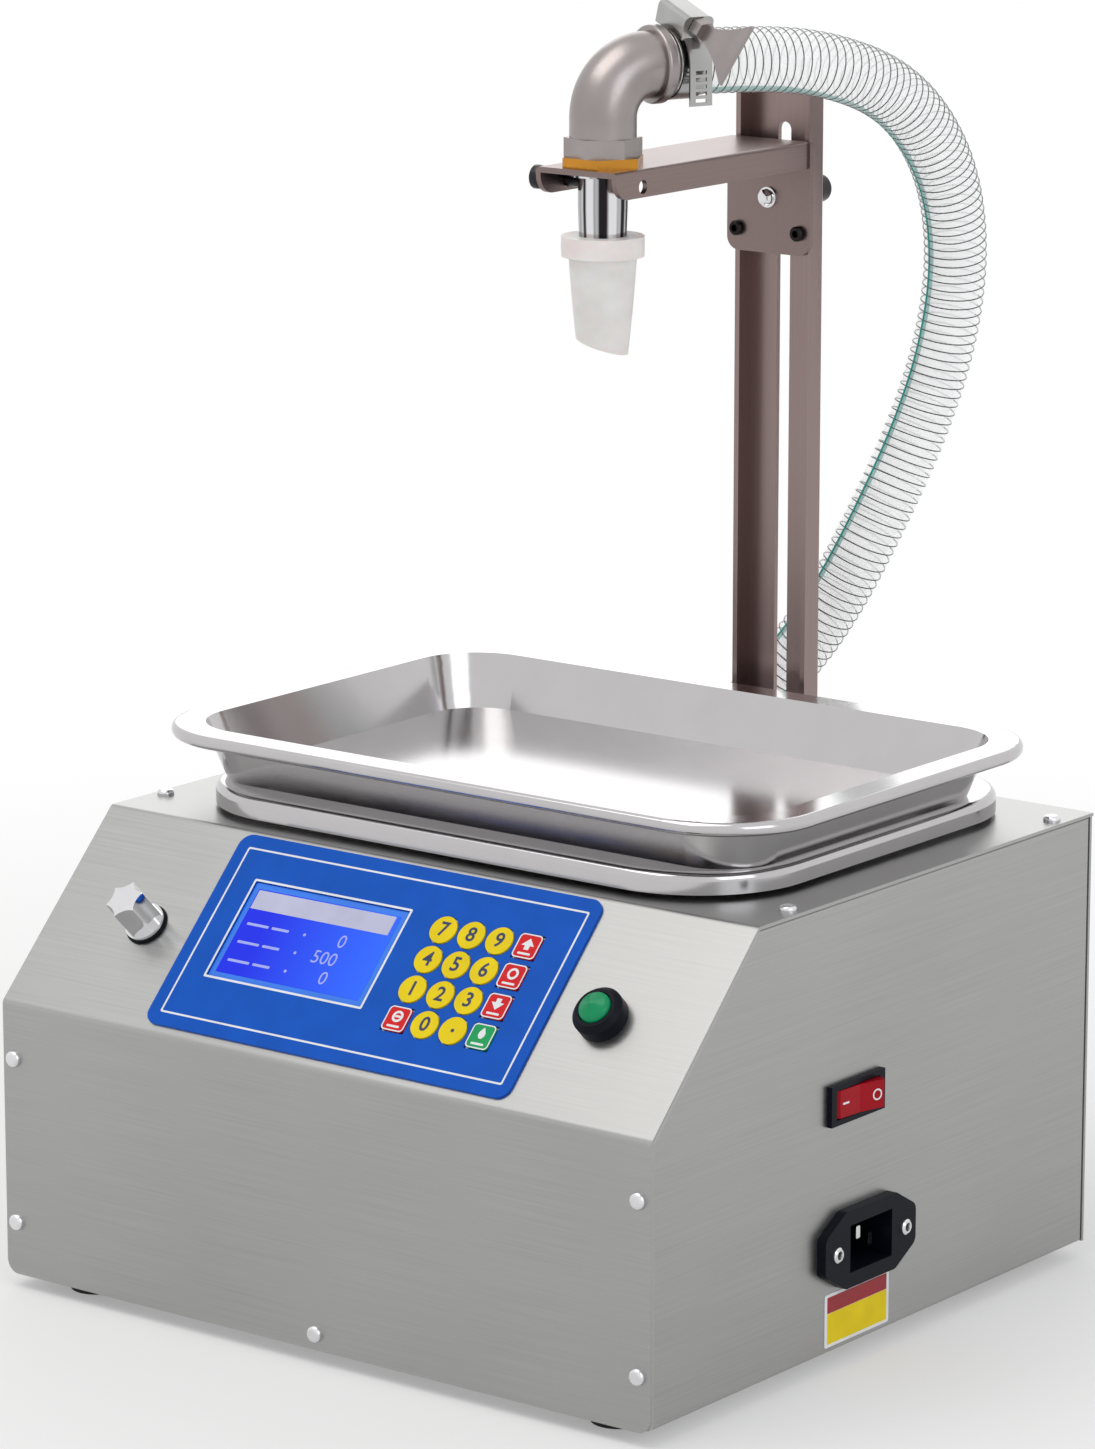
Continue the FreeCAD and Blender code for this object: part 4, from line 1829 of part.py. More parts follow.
def place_on_outlet(piece, along, turned=Rotation(), rise="0", across="0"):
    """Put a piece on the outlet: its own x points up, y to the right side, z out of the elbow."""
    up, side, outward = outlet_axes()
    piece.Placement = Placement(Vector(), Rotation(up, side, outward, "ZXY") * turned)
    x = f"({along}) * sin(Dim.elbow_turn) + ({across}) * cos(Dim.elbow_turn)"
    y = f"{NOZZLE_Y} + ({along}) * cos(Dim.elbow_turn) - ({across}) * sin(Dim.elbow_turn)"
    piece.setExpression("Placement.Base.x", f"{FRAME_X} + ({x})")
    piece.setExpression("Placement.Base.y", f"{FRAME_Y} + ({y})")
    piece.setExpression("Placement.Base.z", f"{FRAME_Z} + {ELBOW_HEIGHT} + ({rise})")
    return piece


# Filling nozzle: a soft duckbill with a round flange, drawn from a circle to a flat mouth
def duckbill():
    def ellipse(name, half_length, half_width, height):
        ring = primitive("Ellipse", name, MajorRadius=half_length, MinorRadius=half_width)
        return place(ring, "0", NOZZLE_Y, height)

    def drawn(name, wall, top, bottom):
        loft_form = doc.addObject("Part::Loft", name)
        middle = f"({bottom} + ({top} - {bottom}) * Dim.duck_middle_ratio)"
        round_radius = f"Dim.nozzle_radius - {wall}"
        tip_x = f"Dim.nozzle_tip_half_width - {wall}"
        tip_y = f"Dim.nozzle_tip_half_depth - {wall}"
        loft_form.Sections = [
            ellipse(name + "_top", f"{round_radius} + Dim.cut_margin", round_radius, top),
            ellipse(name + "_middle", f"{round_radius} - Dim.duck_waist",
                    f"{round_radius} - Dim.duck_pinch", middle),
            ellipse(name + "_tip", tip_x, tip_y, bottom),
        ]
        loft_form.Solid = True
        return loft_form

    flange_low = f"({NOZZLE_TOP} - Dim.nozzle_flange)"
    skin = drawn("duckbill_skin", "0", flange_low, NOZZLE_BOTTOM)
    flange = rod("duckbill_flange", "Dim.nozzle_flange_radius", "Dim.nozzle_flange")
    place(flange, "0", NOZZLE_Y, flange_low)
    inside = drawn("duckbill_inside", "Dim.nozzle_wall", flange_low, f"{NOZZLE_BOTTOM} - Dim.seam")
    mouth = rod("duckbill_mouth", "Dim.nipple_tip_radius + Dim.mouth_play", "Dim.nozzle_flange")
    place(mouth, "0", NOZZLE_Y, flange_low)
    slant = box("duckbill_slant", "Dim.slant_block", "Dim.slant_block", "Dim.slant_depth")
    place(slant, "-Dim.slant_block / 2", f"{NOZZLE_Y} - Dim.slant_block / 2",
          f"{NOZZLE_BOTTOM} - Dim.slant_rise",
          Y_AXIS, "Dim.slant_angle")
    finish(cut("duckbill_nozzle", fused("duckbill_solid", [skin, flange]), [inside, mouth, slant]),
           "duckbill_nozzle")


drive_train()
power_supply()
rear_fittings()
column()
arm()
column_knob()
nozzle_knob()
nozzle_stack()
duckbill()


BAND_MIDDLE = "(Dim.elbow_reach + Dim.barb_collar + Dim.band_start + Dim.band_width / 2)"
BAND_RADIUS = "(Dim.hose_radius + Dim.band_play + Dim.band_thickness)"
KEY_RADIUS = f"({BAND_RADIUS} + Dim.housing_height / 2)"


# Hose clamp: a band with a screw housing on top and the band's slotted free end hanging from it
def hose_clamp():
    start = f"({BAND_MIDDLE} - Dim.band_width / 2)"
    ring = place_on_outlet(rod("band_outside", BAND_RADIUS, "Dim.band_width"), start)
    hollow = place_on_outlet(rod("band_inside", f"{BAND_RADIUS} - Dim.band_thickness", "Dim.band_width"),
                             start)
    housing = new_body("screw_housing")
    end = "Dim.housing_length / 2"
    profile = sketch_on(housing, "housing_profile", "XZ_Plane", f"-{end}")
    half = "Dim.housing_width / 2"
    rectangle(profile, f"{BAND_RADIUS} - Dim.band_thickness / 2", f"-{half}",
              f"{BAND_RADIUS} + Dim.housing_height", half)
    pad(housing, profile, "Dim.housing_length")
    crown = number(f"{BAND_RADIUS} + Dim.housing_height")
    round_edges(housing, "Dim.housing_round",
                lambda edge: runs_along(edge, Y_AXIS) and near(edge.CenterOfMass.x, crown))
    drill = sketch_on(housing, "housing_bore", "XZ_Plane", f"-{end}")
    circle(drill, KEY_RADIUS, "0", "Dim.key_shaft_radius + Dim.fit_play")
    pocket(housing, drill, "Dim.housing_length", True)
    spin = Rotation(Z_AXIS, number("Dim.housing_turn"))
    place_on_outlet(housing, BAND_MIDDLE, spin)

    tail = f"({BAND_RADIUS} + Dim.tail_stand)"
    width = "Dim.tail_width"
    low = f"({BAND_MIDDLE} - Dim.tail_width / 2)"
    arc = "Dim.tail_arc"
    lead = Rotation(Z_AXIS, number("Dim.tail_lead"))
    outer = primitive("Cylinder", "tail_outside", Radius=f"{tail} + Dim.band_thickness", Height=width,
                      Angle=arc)
    inner = primitive("Cylinder", "tail_inside", Radius=tail, Height=width, Angle=arc)
    place_on_outlet(outer, low, lead)
    place_on_outlet(inner, low, lead)
    hanging = box("tail_hanging", "Dim.tail_drop", "Dim.band_thickness", width)
    place_on_outlet(hanging, low, rise="-Dim.tail_drop", across=tail)
    slots = []
    rows = 5
    for row in range(rows):
        slot = box(f"tail_slot_{row}", "Dim.tail_slot", "Dim.tail_stand", "Dim.tail_width / 2")
        place_on_outlet(slot, f"{BAND_MIDDLE} - Dim.tail_width / 4",
                        across=f"{tail} - Dim.band_thickness / 2",
                        rise=f"-Dim.tail_drop + Dim.tail_end + {row} * (Dim.tail_slot + Dim.tail_rib)")
        slots.append(slot)
    curve = cut("tail_curve", outer, [inner])
    whole = fused("clamp_solid", [cut("clamp_band", ring, [hollow]), housing, curve, hanging])
    bore = rod("clamp_bore", "Dim.key_shaft_radius + Dim.fit_play", f"2 * ({end} + Dim.band_thickness)")
    key_frame(bore, f"{end} + Dim.band_thickness", Rotation(X_AXIS, 90))
    finish(cut("hose_clamp", whole, slots + [bore]), "hose_clamp")


def key_frame(piece, along, turned=Rotation()):
    """Put a piece on the clamp screw's axis, which is its own y; along runs towards the key."""
    spin = Rotation(Z_AXIS, number("Dim.housing_turn"))
    rise = f"({KEY_RADIUS} * cos(Dim.housing_turn) - ({along}) * sin(Dim.housing_turn))"
    across = f"({KEY_RADIUS} * sin(Dim.housing_turn) + ({along}) * cos(Dim.housing_turn))"
    return place_on_outlet(piece, BAND_MIDDLE, spin * turned, rise, across)


# Key of the hose clamp: worm shaft, hexagon head and a fan-shaped wing for the fingers
def clamp_key():
    body = new_body("clamp_key")
    end = "(Dim.housing_length / 2 + Dim.key_end_play)"
    shaft = sketch_on(body, "key_shaft", "XZ_Plane", f"-{end}")
    circle(shaft, "0", "0", "Dim.key_shaft_radius")
    pad(body, shaft, "Dim.housing_length + Dim.key_end_play + Dim.key_tail")
    head = sketch_on(body, "key_head", "XZ_Plane", f"-{end}")
    radius = "Dim.key_head_flat / 2 / cos(30)"
    outline(head,
            [(f"{radius} * {math.cos(k * math.pi / 3):.6f}", f"{radius} * {math.sin(k * math.pi / 3):.6f}")
                   for k in range(6)])
    pad(body, head, "Dim.key_head_length", True)
    wing = sketch_on(body, "key_wing", "XY_Plane", "-Dim.wing_plate / 2")
    base = f"({end} + Dim.key_head_length - Dim.wing_root)"
    steps = 6
    flare = number("Dim.wing_flare_ratio")
    right = []
    for step in range(steps + 1):
        share = step / steps
        across = f"Dim.wing_neck + (Dim.wing_width / 2 - Dim.wing_neck) * {share ** flare:.6f}"
        right.append((across, f"{base} + Dim.wing_length * {share:.6f}"))
    left = [(f"-({x})", y) for x, y in reversed(right)]
    outline(wing, right + left)
    pad(body, wing, "Dim.wing_plate")
    key_frame(body, "0", Rotation(Y_AXIS, number("Dim.wing_turn")))
    finish(body, "hose_clamp_key")


# Corners of the hose's route, from above the arm, round behind the column and down to the outlet:
# x from the middle, y behind the rear panel, and the share of the rise from the outlet to the elbow
HOSE_ROUTE = [
    (33, -12, 0.986864), (39.6, 21.3, 0.945813), (41.8, 46.9, 0.862069), (39, 61.3, 0.753366),
    (32.8, 64.1, 0.638095), (23.8, 59.4, 0.527422), (13.7, 48.2, 0.419376), (0.3, 42, 0.321511),
    (-13.9, 38.8, 0.250903), (-32.2, 33.1, 0.181281),
]


# Delivery hose: one round section carried along straight runs joined by tangent arcs
def delivery_hose():
    outward = outlet_axes()[2]
    origin = Vector(0, number(NOZZLE_Y), number(ELBOW_HEIGHT))
    left = number("-Dim.port_spacing / 2")
    rear = number("Dim.body_depth + Dim.fitting_reach")
    start = origin + outward * number("Dim.elbow_reach + Dim.barb_collar")
    points = [start, origin + outward * number("Dim.hose_straight")]
    depth = number("Dim.body_depth")
    low = number(OUTLET_TOP)
    points += [Vector(x, depth + y, low + (origin.z - low) * share) for x, y, share in HOSE_ROUTE]
    for height in (f"{OUTLET_TOP} + Dim.hose_rise", OUTLET_TOP):
        points.append(Vector(left, rear, number(height)))
    radii = []
    for index in range(1, len(points) - 1):
        before = points[index - 1] - points[index]
        after = points[index + 1] - points[index]
        turn = math.pi - before.getAngle(after)
        radii.append(0.45 * min(before.Length, after.Length) / math.tan(turn / 2))
    path = rounded_path(points, radii)
    radius = number("Dim.hose_radius")
    hose = swept(path, radius)
    print("hose volume", round(hose.Volume, 1), "section by length",
          round(math.pi * radius ** 2 * path.Length, 1))
    shaped("delivery_hose", moved(hose))


hose_clamp()
clamp_key()
delivery_hose()

doc.recompute()
for item in doc.Objects:
    if "Invalid" in item.State or "Error" in item.State:
        raise RuntimeError(f"{item.Name} failed: {item.State}")
os.makedirs("parts", exist_ok=True)
for item in finished:
    if item.Shape.isNull() or not item.Shape.isValid():
        raise RuntimeError(f"{item.Label} is not a sound solid")
    print(item.Label, "solids", len(item.Shape.Solids), "volume", round(item.Shape.Volume, 1))
for item in finished:
    item.Shape.exportStep(f"parts/{item.Label}.step")
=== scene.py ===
import math

import bmesh
import bpy
from mathutils import Matrix, Vector


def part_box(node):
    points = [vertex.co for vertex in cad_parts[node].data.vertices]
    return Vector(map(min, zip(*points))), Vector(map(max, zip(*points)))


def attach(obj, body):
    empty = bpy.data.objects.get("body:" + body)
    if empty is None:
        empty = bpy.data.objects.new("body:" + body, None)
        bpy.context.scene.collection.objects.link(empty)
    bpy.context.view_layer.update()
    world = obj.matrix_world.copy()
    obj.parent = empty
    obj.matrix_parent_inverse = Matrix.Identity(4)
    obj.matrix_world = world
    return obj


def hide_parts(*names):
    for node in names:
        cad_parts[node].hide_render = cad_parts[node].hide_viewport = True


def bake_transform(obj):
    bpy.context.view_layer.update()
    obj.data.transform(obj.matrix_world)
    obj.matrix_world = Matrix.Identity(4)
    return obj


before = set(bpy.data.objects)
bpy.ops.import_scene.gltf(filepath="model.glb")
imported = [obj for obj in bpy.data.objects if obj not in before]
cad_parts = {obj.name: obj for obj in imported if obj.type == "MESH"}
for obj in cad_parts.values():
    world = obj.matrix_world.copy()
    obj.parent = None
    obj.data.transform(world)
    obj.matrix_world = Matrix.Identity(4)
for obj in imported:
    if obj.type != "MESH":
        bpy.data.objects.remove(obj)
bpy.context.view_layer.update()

bl_info = {
    "name": "Honey Filling Machine",
    "version": (1, 0, 0),
    "blender": (4, 5, 0),
    "location": "View3D > Sidebar > Filler",
    "description": "Dresses a table-top honey filling machine: metal, plastics, prints, hose and stage",
    "category": "Object",
}

MM = 0.001

# Places are in casing millimetres: x from the middle, y back from the front sheet, z up from the lower edge
CASING_ORIGIN = Vector((-2.6, -148.5, 5.0))
RIGHT_FACE = 139.5
INLET_Y, INLET_Z = 119.7, 36.1
ROCKER_Y, ROCKER_Z = 113.6, 87
PLATE_Y, PLATE_Z = 116.6, 12.3
SLOPE = math.radians(45.5)
SLOPE_FOOT = 98.0
# Heights out of the slope; places on it are across from the middle and up from its foot
OVERLAY_TOP = 0.9
KEY_TOP = 1.4
SCREEN_TOP = 0.35
KEY_FIRST = (23.2, 23.6)
KEY_PITCH = 11.83
KNOB_MIDDLE = (-97.2, 39.5)
DISPLAY_ROWS = (47.5, 40.2, 32.8)
NUMBER_KEYS = {"7": (0, 3), "8": (1, 3), "9": (2, 3), "4": (0, 2), "5": (1, 2), "6": (2, 2),
               "1": (0, 1), "2": (1, 1), "3": (2, 1), "0": (1, 0), "point": (2, 0)}
FUNCTION_KEYS = {"up": (3, 3), "set": (3, 2), "down": (3, 1), "start": (3, 0), "clear": (0, 0)}
# Thickness of printed ink and of the two lines printed on the overlay
INK = 0.05
LINE_INK = 0.06

BEND = math.radians(20)
OUTLET = Vector((math.sin(BEND), math.cos(BEND), 0))
ELBOW_CENTRE = Vector((0, 158.3, 416.5))
# The point, in casing millimetres, that the hose's coloured stripe faces
STRIPE_SIDE = (-10, 225, 285)
# Millimetres that the skin and the wire lie under the hose's full diameter, so that the wire stands out
SKIN_DEPTH = 0.2
WIRE_DEPTH = 0.05
HOSE_SIDES = 40
HOSE_STEP = 3.0
STRIPE_STEP = 4.0
# Points in each turn of the wire: fewer let its chords sink into the skin
WIRE_POINTS = 36
# The CAD hose's length in metres
HOSE_ROUTE = [
    (33, 246, 412.5), (39.6, 279.3, 400), (41.8, 304.9, 374.5), (39, 319.3, 341.4),
    (32.8, 322.1, 306.3), (23.8, 317.4, 272.6), (13.7, 306.2, 239.7), (0.3, 300, 209.9),
    (-13.9, 296.8, 188.4), (-32.2, 291.1, 167.2), (-42, 288, 140.5), (-42, 288, 112),
]


def linear(code):
    """Turns an sRGB hex colour into linear red, green, blue and alpha."""
    shares = [int(code[i:i + 2], 16) / 255 for i in (1, 3, 5)]
    return tuple(s / 12.92 if s <= 0.04045 else ((s + 0.055) / 1.055) ** 2.4 for s in shares) + (1.0,)


def colour(name, description, code):
    """A colour that the user can change, given as sRGB hex."""
    return bpy.props.FloatVectorProperty(name=name, description=description, subtype="COLOR", size=4,
                                         min=0.0, max=1.0, default=linear(code))


def amount(name, description, value, **limits):
    """A number that the user can change."""
    return bpy.props.FloatProperty(name=name, description=description, default=value, **limits)


def length(name, description, millimetres):
    """A length that the user can change, given in millimetres."""
    return amount(name, description, millimetres * MM, unit="LENGTH", precision=5, min=0.00005, max=1.0)


class FILLER_PG_metals(bpy.types.PropertyGroup):
    """Colours of the metal finishes."""
    steel: colour("Brushed steel", "Folded casing sheets", "#A8A8A7")
    tray: colour("Polished steel", "Weighing tray and pan", "#BFBDBE")
    column: colour("Dark steel", "Column, arm and carriage", "#907F7C")
    casting: colour("Cast steel", "Elbow and hose barb", "#9B9492")
    chrome: colour("Chrome", "Nipple, knob and screws", "#DCDCDE")
    brass: colour("Brass", "Lock nut under the elbow", "#BE8434")
    aluminium: colour("Aluminium", "Load cell", "#B9BABD")


class FILLER_PG_plastics(bpy.types.PropertyGroup):
    """Colours of plastics, rubber and prints."""
    overlay: colour("Overlay", "Printed keypad film", "#0358C4")
    screen: colour("Screen", "Lit display", "#1C2FEA")
    screen_bar: colour("Screen bar", "Pale strip at the top of the display", "#C3C6E2")
    number_key: colour("Number key", "Round number keys", "#F4D80C")
    function_key: colour("Function key", "Square keys", "#DC1C22")
    start_key: colour("Start key", "Square key at the lower right", "#17A45C")
    digit: colour("Digit", "Figures on the round keys", "#1B2C55")
    white_print: colour("White print", "Lines and signs", "#F1F3F6")
    start_button: colour("Start button", "Domed button", "#04965F")
    rocker: colour("Rocker", "Mains switch rocker", "#A8041A")
    black: colour("Black plastic", "Collars, bezel, inlet and knobs", "#0B0E18")
    rubber: colour("Rubber", "Feet", "#1C1C1D")
    silicone: colour("Silicone", "Duckbill nozzle", "#FCF3F0")
    stripe: colour("Hose stripe", "Coloured line along the hose", "#0FA59A")
    paint: colour("Motor paint", "Motor can", "#2C3138")


class FILLER_PG_sizes(bpy.types.PropertyGroup):
    """Sizes of the trim and the hose."""
    hose_diameter: length("Hose diameter", "Outside of the clear hose", 23)
    hose_wall: length("Hose wall", "Thickness of the clear wall", 2.2)
    wire_pitch: length("Wire pitch", "Distance between turns of the spring wire", 3.4)
    wire_radius: length("Wire radius", "Half the thickness of the spring wire", 0.25)
    stripe_radius: length("Stripe radius", "Half the width of the coloured stripe", 0.95)
    print_line: length("Print line", "Width of the thin white lines", 0.7)
    digit_height: length("Digit height", "Height of the figures on the keys", 7.6)


class FILLER_PG_stage(bpy.types.PropertyGroup):
    """Camera, floor and lamps."""
    camera_place: bpy.props.FloatVectorProperty(
        name="Camera place", description="Where the camera stands", subtype="TRANSLATION", size=3,
        default=(1.2096, -1.5902, 0.6430))
    azimuth: amount("Azimuth", "Turn of the view from straight ahead", math.radians(37.690), subtype="ANGLE")
    elevation: amount("Elevation", "How far the view looks down", math.radians(12.662), subtype="ANGLE")
    lens: amount("Lens", "Focal length in millimetres", 146.3, min=1.0)
    floor: colour("Floor", "Pale floor", "#F4F4F4")
    key_power: amount("Key lamp", "Power of the main soft lamp in watts", 14.0, min=0.0)
    fill_power: amount("Fill lamp", "Power of the side lamp in watts", 7.0, min=0.0)
    sky: amount("Sky", "Strength of the even light all round", 0.55, min=0.0)


def settings(context):
    """The four property groups of this scene."""
    scene = context.scene
    return scene.filler_metals, scene.filler_plastics, scene.filler_sizes, scene.filler_stage


def add(tree, kind, choices=None, inputs=None):
    """Adds a node with its settings and inputs: an input is a value or another node's output socket."""
    node = tree.nodes.new(kind)
    for name, value in (choices or {}).items():
        setattr(node, name, value)
    for name, value in (inputs or {}).items():
        if isinstance(value, bpy.types.NodeSocket):
            tree.links.new(value, node.inputs[name])
        else:
            node.inputs[name].default_value = value
    return node


def start_material(name, principled):
    """A new material with its Principled shader's plain values, its tree and object coordinates."""
    material = bpy.data.materials.new(name)
    material.use_nodes = True
    tree = material.node_tree
    shader = tree.nodes["Principled BSDF"]
    for socket, value in principled.items():
        shader.inputs[socket].default_value = value
    coordinates = add(tree, "ShaderNodeTexCoord").outputs["Object"]
    return material, tree, shader, coordinates


def tinted(base, share):
    """A linear colour made lighter or darker by a share."""
    return tuple(min(1.0, c * share) for c in base[:3]) + (1.0,)


def ramp(tree, source, low, high, start=0.3, end=0.7):
    """A ramp between two colours driven by a noise or gradient."""
    node = add(tree, "ShaderNodeValToRGB", inputs={"Fac": source})
    node.color_ramp.elements[0].position = start
    node.color_ramp.elements[1].position = end
    node.color_ramp.elements[0].color = low
    node.color_ramp.elements[1].color = high
    return node.outputs["Color"]


def spread(tree, source, low, high):
    """Maps a 0 to 1 noise onto a range of numbers."""
    node = add(tree, "ShaderNodeMapRange", inputs={0: source, 1: 0.25, 2: 0.75, 3: low, 4: high})
    return node.outputs[0]


def surface(tree, shader, shade, roughness, relief, strength, depth):
    """Links colour, roughness and a bump made from a relief to the Principled shader."""
    bump = add(tree, "ShaderNodeBump", inputs={"Height": relief, "Strength": strength, "Distance": depth})
    for socket, source in (("Base Color", shade), ("Roughness", roughness), ("Normal", bump.outputs["Normal"])):
        tree.links.new(source, shader.inputs[socket])


def brushed_sheet(name, base, grain, roughness):
    """Cold-rolled stainless sheet, belt-brushed: fine parallel scratches that stretch the reflections."""
    material, tree, shader, place = start_material(name, {"Metallic": 1.0})
    # real scratches are about 0.05 mm wide; drawn 0.5 mm wide and 60 mm long so that they show
    along, across = 1 / 0.06, 1 / 0.0005
    scale = Vector(along if axis in grain else across for axis in "XYZ")
    stretched = add(tree, "ShaderNodeMapping", inputs={"Vector": place, "Scale": scale}).outputs["Vector"]
    scratches = add(tree, "ShaderNodeTexNoise", inputs={"Vector": stretched, "Scale": 1.0, "Detail": 3.0,
                                                        "Roughness": 0.6}).outputs["Fac"]
    # slow unevenness of the belt, about 80 mm across
    cloud = add(tree, "ShaderNodeTexNoise", inputs={"Vector": place, "Scale": 12.0, "Detail": 1.0}).outputs["Fac"]
    mixed = add(tree, "ShaderNodeMix", {"data_type": "FLOAT"}, {0: 0.3, 2: scratches, 3: cloud}).outputs[0]
    surface(tree, shader, ramp(tree, mixed, tinted(base, 0.9), tinted(base, 1.07)),
            spread(tree, mixed, roughness - 0.05, roughness + 0.07), scratches, 0.12, 0.00008)
    return material


def machined_metal(name, base, roughness, grit, strength=0.15, unevenness=0.08):
    """Turned, cast or plated metal: a soft shine broken by marks of one size, in metres."""
    material, tree, shader, place = start_material(name, {"Metallic": 1.0})
    marks = add(tree, "ShaderNodeTexNoise", inputs={"Vector": place, "Scale": 1 / grit,
                                                    "Detail": 4.0}).outputs["Fac"]
    cloud = add(tree, "ShaderNodeTexNoise", inputs={"Vector": place, "Scale": 60.0}).outputs["Fac"]
    surface(tree, shader, ramp(tree, cloud, tinted(base, 1 - unevenness), tinted(base, 1 + unevenness)),
            spread(tree, marks, roughness - unevenness / 2, roughness + unevenness / 2),
            marks, strength, grit / 12)
    return material


def chrome_with_painted_reflection(name, base, dark, middle):
    """Turned and chromed tube with a painted reflection: hard dark and bright bands painted into its colour along
    its length, in place of the room it mirrors.
    """
    material, tree, shader, place = start_material(name, {"Metallic": 1.0, "Roughness": 0.12})
    centred = add(tree, "ShaderNodeMapping", inputs={"Vector": place, "Location": -middle}).outputs["Vector"]
    apart = add(tree, "ShaderNodeSeparateXYZ", inputs={"Vector": centred})
    round_it = add(tree, "ShaderNodeMath", {"operation": "ARCTAN2"},
                   {0: apart.outputs["X"], 1: apart.outputs["Y"]}).outputs[0]
    # each painted reflection band is 2 to 4 mm wide on a tube 17 mm across
    painted_reflection_bands = add(tree, "ShaderNodeTexNoise", {"noise_dimensions": "1D"},
                {"W": round_it, "Scale": 2.2, "Detail": 1.0}).outputs["Fac"]
    tree.links.new(ramp(tree, painted_reflection_bands, dark, base, 0.42, 0.56), shader.inputs["Base Color"])
    return material


def moulded_plastic(name, base, roughness, grain=0.0006, strength=0.1, extra=None):
    """Injection-moulded plastic or rubber: even colour with a fine spark-eroded grain in its gloss."""
    material, tree, shader, place = start_material(name, {"IOR": 1.49, **(extra or {})})
    marks = add(tree, "ShaderNodeTexNoise", inputs={"Vector": place, "Scale": 1 / grain,
                                                    "Detail": 3.0}).outputs["Fac"]
    cloud = add(tree, "ShaderNodeTexNoise", inputs={"Vector": place, "Scale": 90.0}).outputs["Fac"]
    surface(tree, shader, ramp(tree, cloud, tinted(base, 0.93), tinted(base, 1.05)),
            spread(tree, marks, roughness - 0.05, roughness + 0.07), marks, strength, grain / 15)
    return material


def lit_screen(name, base):
    """Back-lit liquid crystal: a violet-blue glow, a little paler to the right, with its dot rows."""
    material, tree, shader, place = start_material(name, {"Roughness": 0.35, "Specular IOR Level": 0.15,
                                                          "Emission Strength": 0.2})
    apart = add(tree, "ShaderNodeSeparateXYZ", inputs={"Vector": place}).outputs["X"]
    share = add(tree, "ShaderNodeMapRange", inputs={0: apart, 1: -0.065, 2: 0.004, 3: 0.0, 4: 1.0}).outputs[0]
    glow = ramp(tree, share, tinted(base, 0.95), linear("#2F6BFF"), 0.2, 1.0)
    # dots are 0.5 mm apart, as on a character display
    dots = add(tree, "ShaderNodeTexChecker", inputs={"Vector": place, "Scale": 1 / 0.0005}).outputs["Fac"]
    shade = add(tree, "ShaderNodeMix", {"data_type": "RGBA", "blend_type": "MULTIPLY"},
                {0: spread(tree, dots, 0.0, 0.12), 6: glow, 7: (0.6, 0.6, 0.7, 1.0)}).outputs[2]
    tree.links.new(shade, shader.inputs["Base Color"])
    tree.links.new(shade, shader.inputs["Emission Color"])
    return material


def linked(name, data):
    """A new object in the scene."""
    thing = bpy.data.objects.new(name, data)
    bpy.context.scene.collection.objects.link(thing)
    return thing


def painted(mesh, material):
    """Gives a mesh one material in place of any other."""
    mesh.materials.clear()
    mesh.materials.append(material)


def give(nodes, name):
    """Puts a finish on CAD nodes in place of the plain one."""
    for node in nodes:
        painted(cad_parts[node].data, material_named(name))


def material_named(name):
    """A finish that an earlier operator made."""
    found = bpy.data.materials.get(name)
    if found is None:
        raise RuntimeError(f"make the finishes first: {name} is missing")
    return found


def casing_frame(x, y, z, turn=None):
    """A place on the machine in casing millimetres, as a matrix that also turns millimetres to metres."""
    spot = (Vector((x, y, z)) + CASING_ORIGIN) * MM
    return Matrix.Translation(spot) @ (turn or Matrix.Identity(4)) @ Matrix.Scale(MM, 4)


def slope_frame(across, up, out):
    """A place on the sloping front: x across, y up the slope, z out of it."""
    turn = Matrix.Rotation(SLOPE, 4, "X")
    spot = turn @ Vector((across, up, out)) + Vector((0, 0, SLOPE_FOOT))
    return casing_frame(*spot, turn)


def quarter(axis):
    """A quarter turn about an axis."""
    return Matrix.Rotation(math.radians(90), 4, axis)


def facing(direction):
    """A turn whose z axis points along a sideways direction and whose y axis is near up."""
    out = Vector(direction).normalized()
    side = Vector((0, 0, 1)).cross(out).normalized()
    return Matrix((side, out.cross(side), out)).transposed().to_4x4()


def surface_at(node, start, towards):
    """Where a line from outside first meets a CAD node, and which way the surface faces there."""
    met, spot, normal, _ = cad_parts[node].ray_cast(start, towards)
    if not met:
        raise RuntimeError(f"no surface of {node} lies there")
    return spot, normal


def piece(name, mesh, place, finish, body, smooth=None):
    """Makes a finished piece from a mesh: puts it in place, gives it its finish and lets it ride."""
    mesh.transform(place)
    painted(mesh, material_named(finish))
    made = bmesh.new()
    made.from_mesh(mesh)
    bmesh.ops.remove_doubles(made, verts=made.verts, dist=1e-7)
    bmesh.ops.recalc_face_normals(made, faces=made.faces)
    made.to_mesh(mesh)
    made.free()
    thing = linked(name, mesh)
    if smooth is not None:
        mesh.shade_smooth()
        mesh.set_sharp_from_angle(angle=math.radians(smooth))
    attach(thing, body)


def evaluated_mesh(thing):
    """The plain mesh that an object's curve or modifiers make."""
    bpy.context.view_layer.update()
    depsgraph = bpy.context.evaluated_depsgraph_get()
    return bpy.data.meshes.new_from_object(thing.evaluated_get(depsgraph), depsgraph=depsgraph)


def mesh_of(curve):
    """The plain mesh that a curve or a text makes; the curve is thrown away."""
    holder = linked("holder", curve)
    mesh = evaluated_mesh(holder)
    bpy.data.objects.remove(holder)
    bpy.data.curves.remove(curve)
    return mesh


def flat_shape(outlines, thickness):
    """A plate from closed outlines in millimetres; an outline inside another is a hole."""
    curve = bpy.data.curves.new("outline", "CURVE")
    curve.dimensions = "2D"
    curve.fill_mode = "BOTH"
    curve.extrude = thickness / 2
    for points in outlines:
        spline = curve.splines.new("POLY")
        spline.points.add(len(points) - 1)
        for point, (x, y) in zip(spline.points, points):
            point.co = (x, y, 0, 1)
        spline.use_cyclic_u = True
    mesh = mesh_of(curve)
    mesh.transform(Matrix.Translation((0, 0, thickness / 2)))
    return mesh


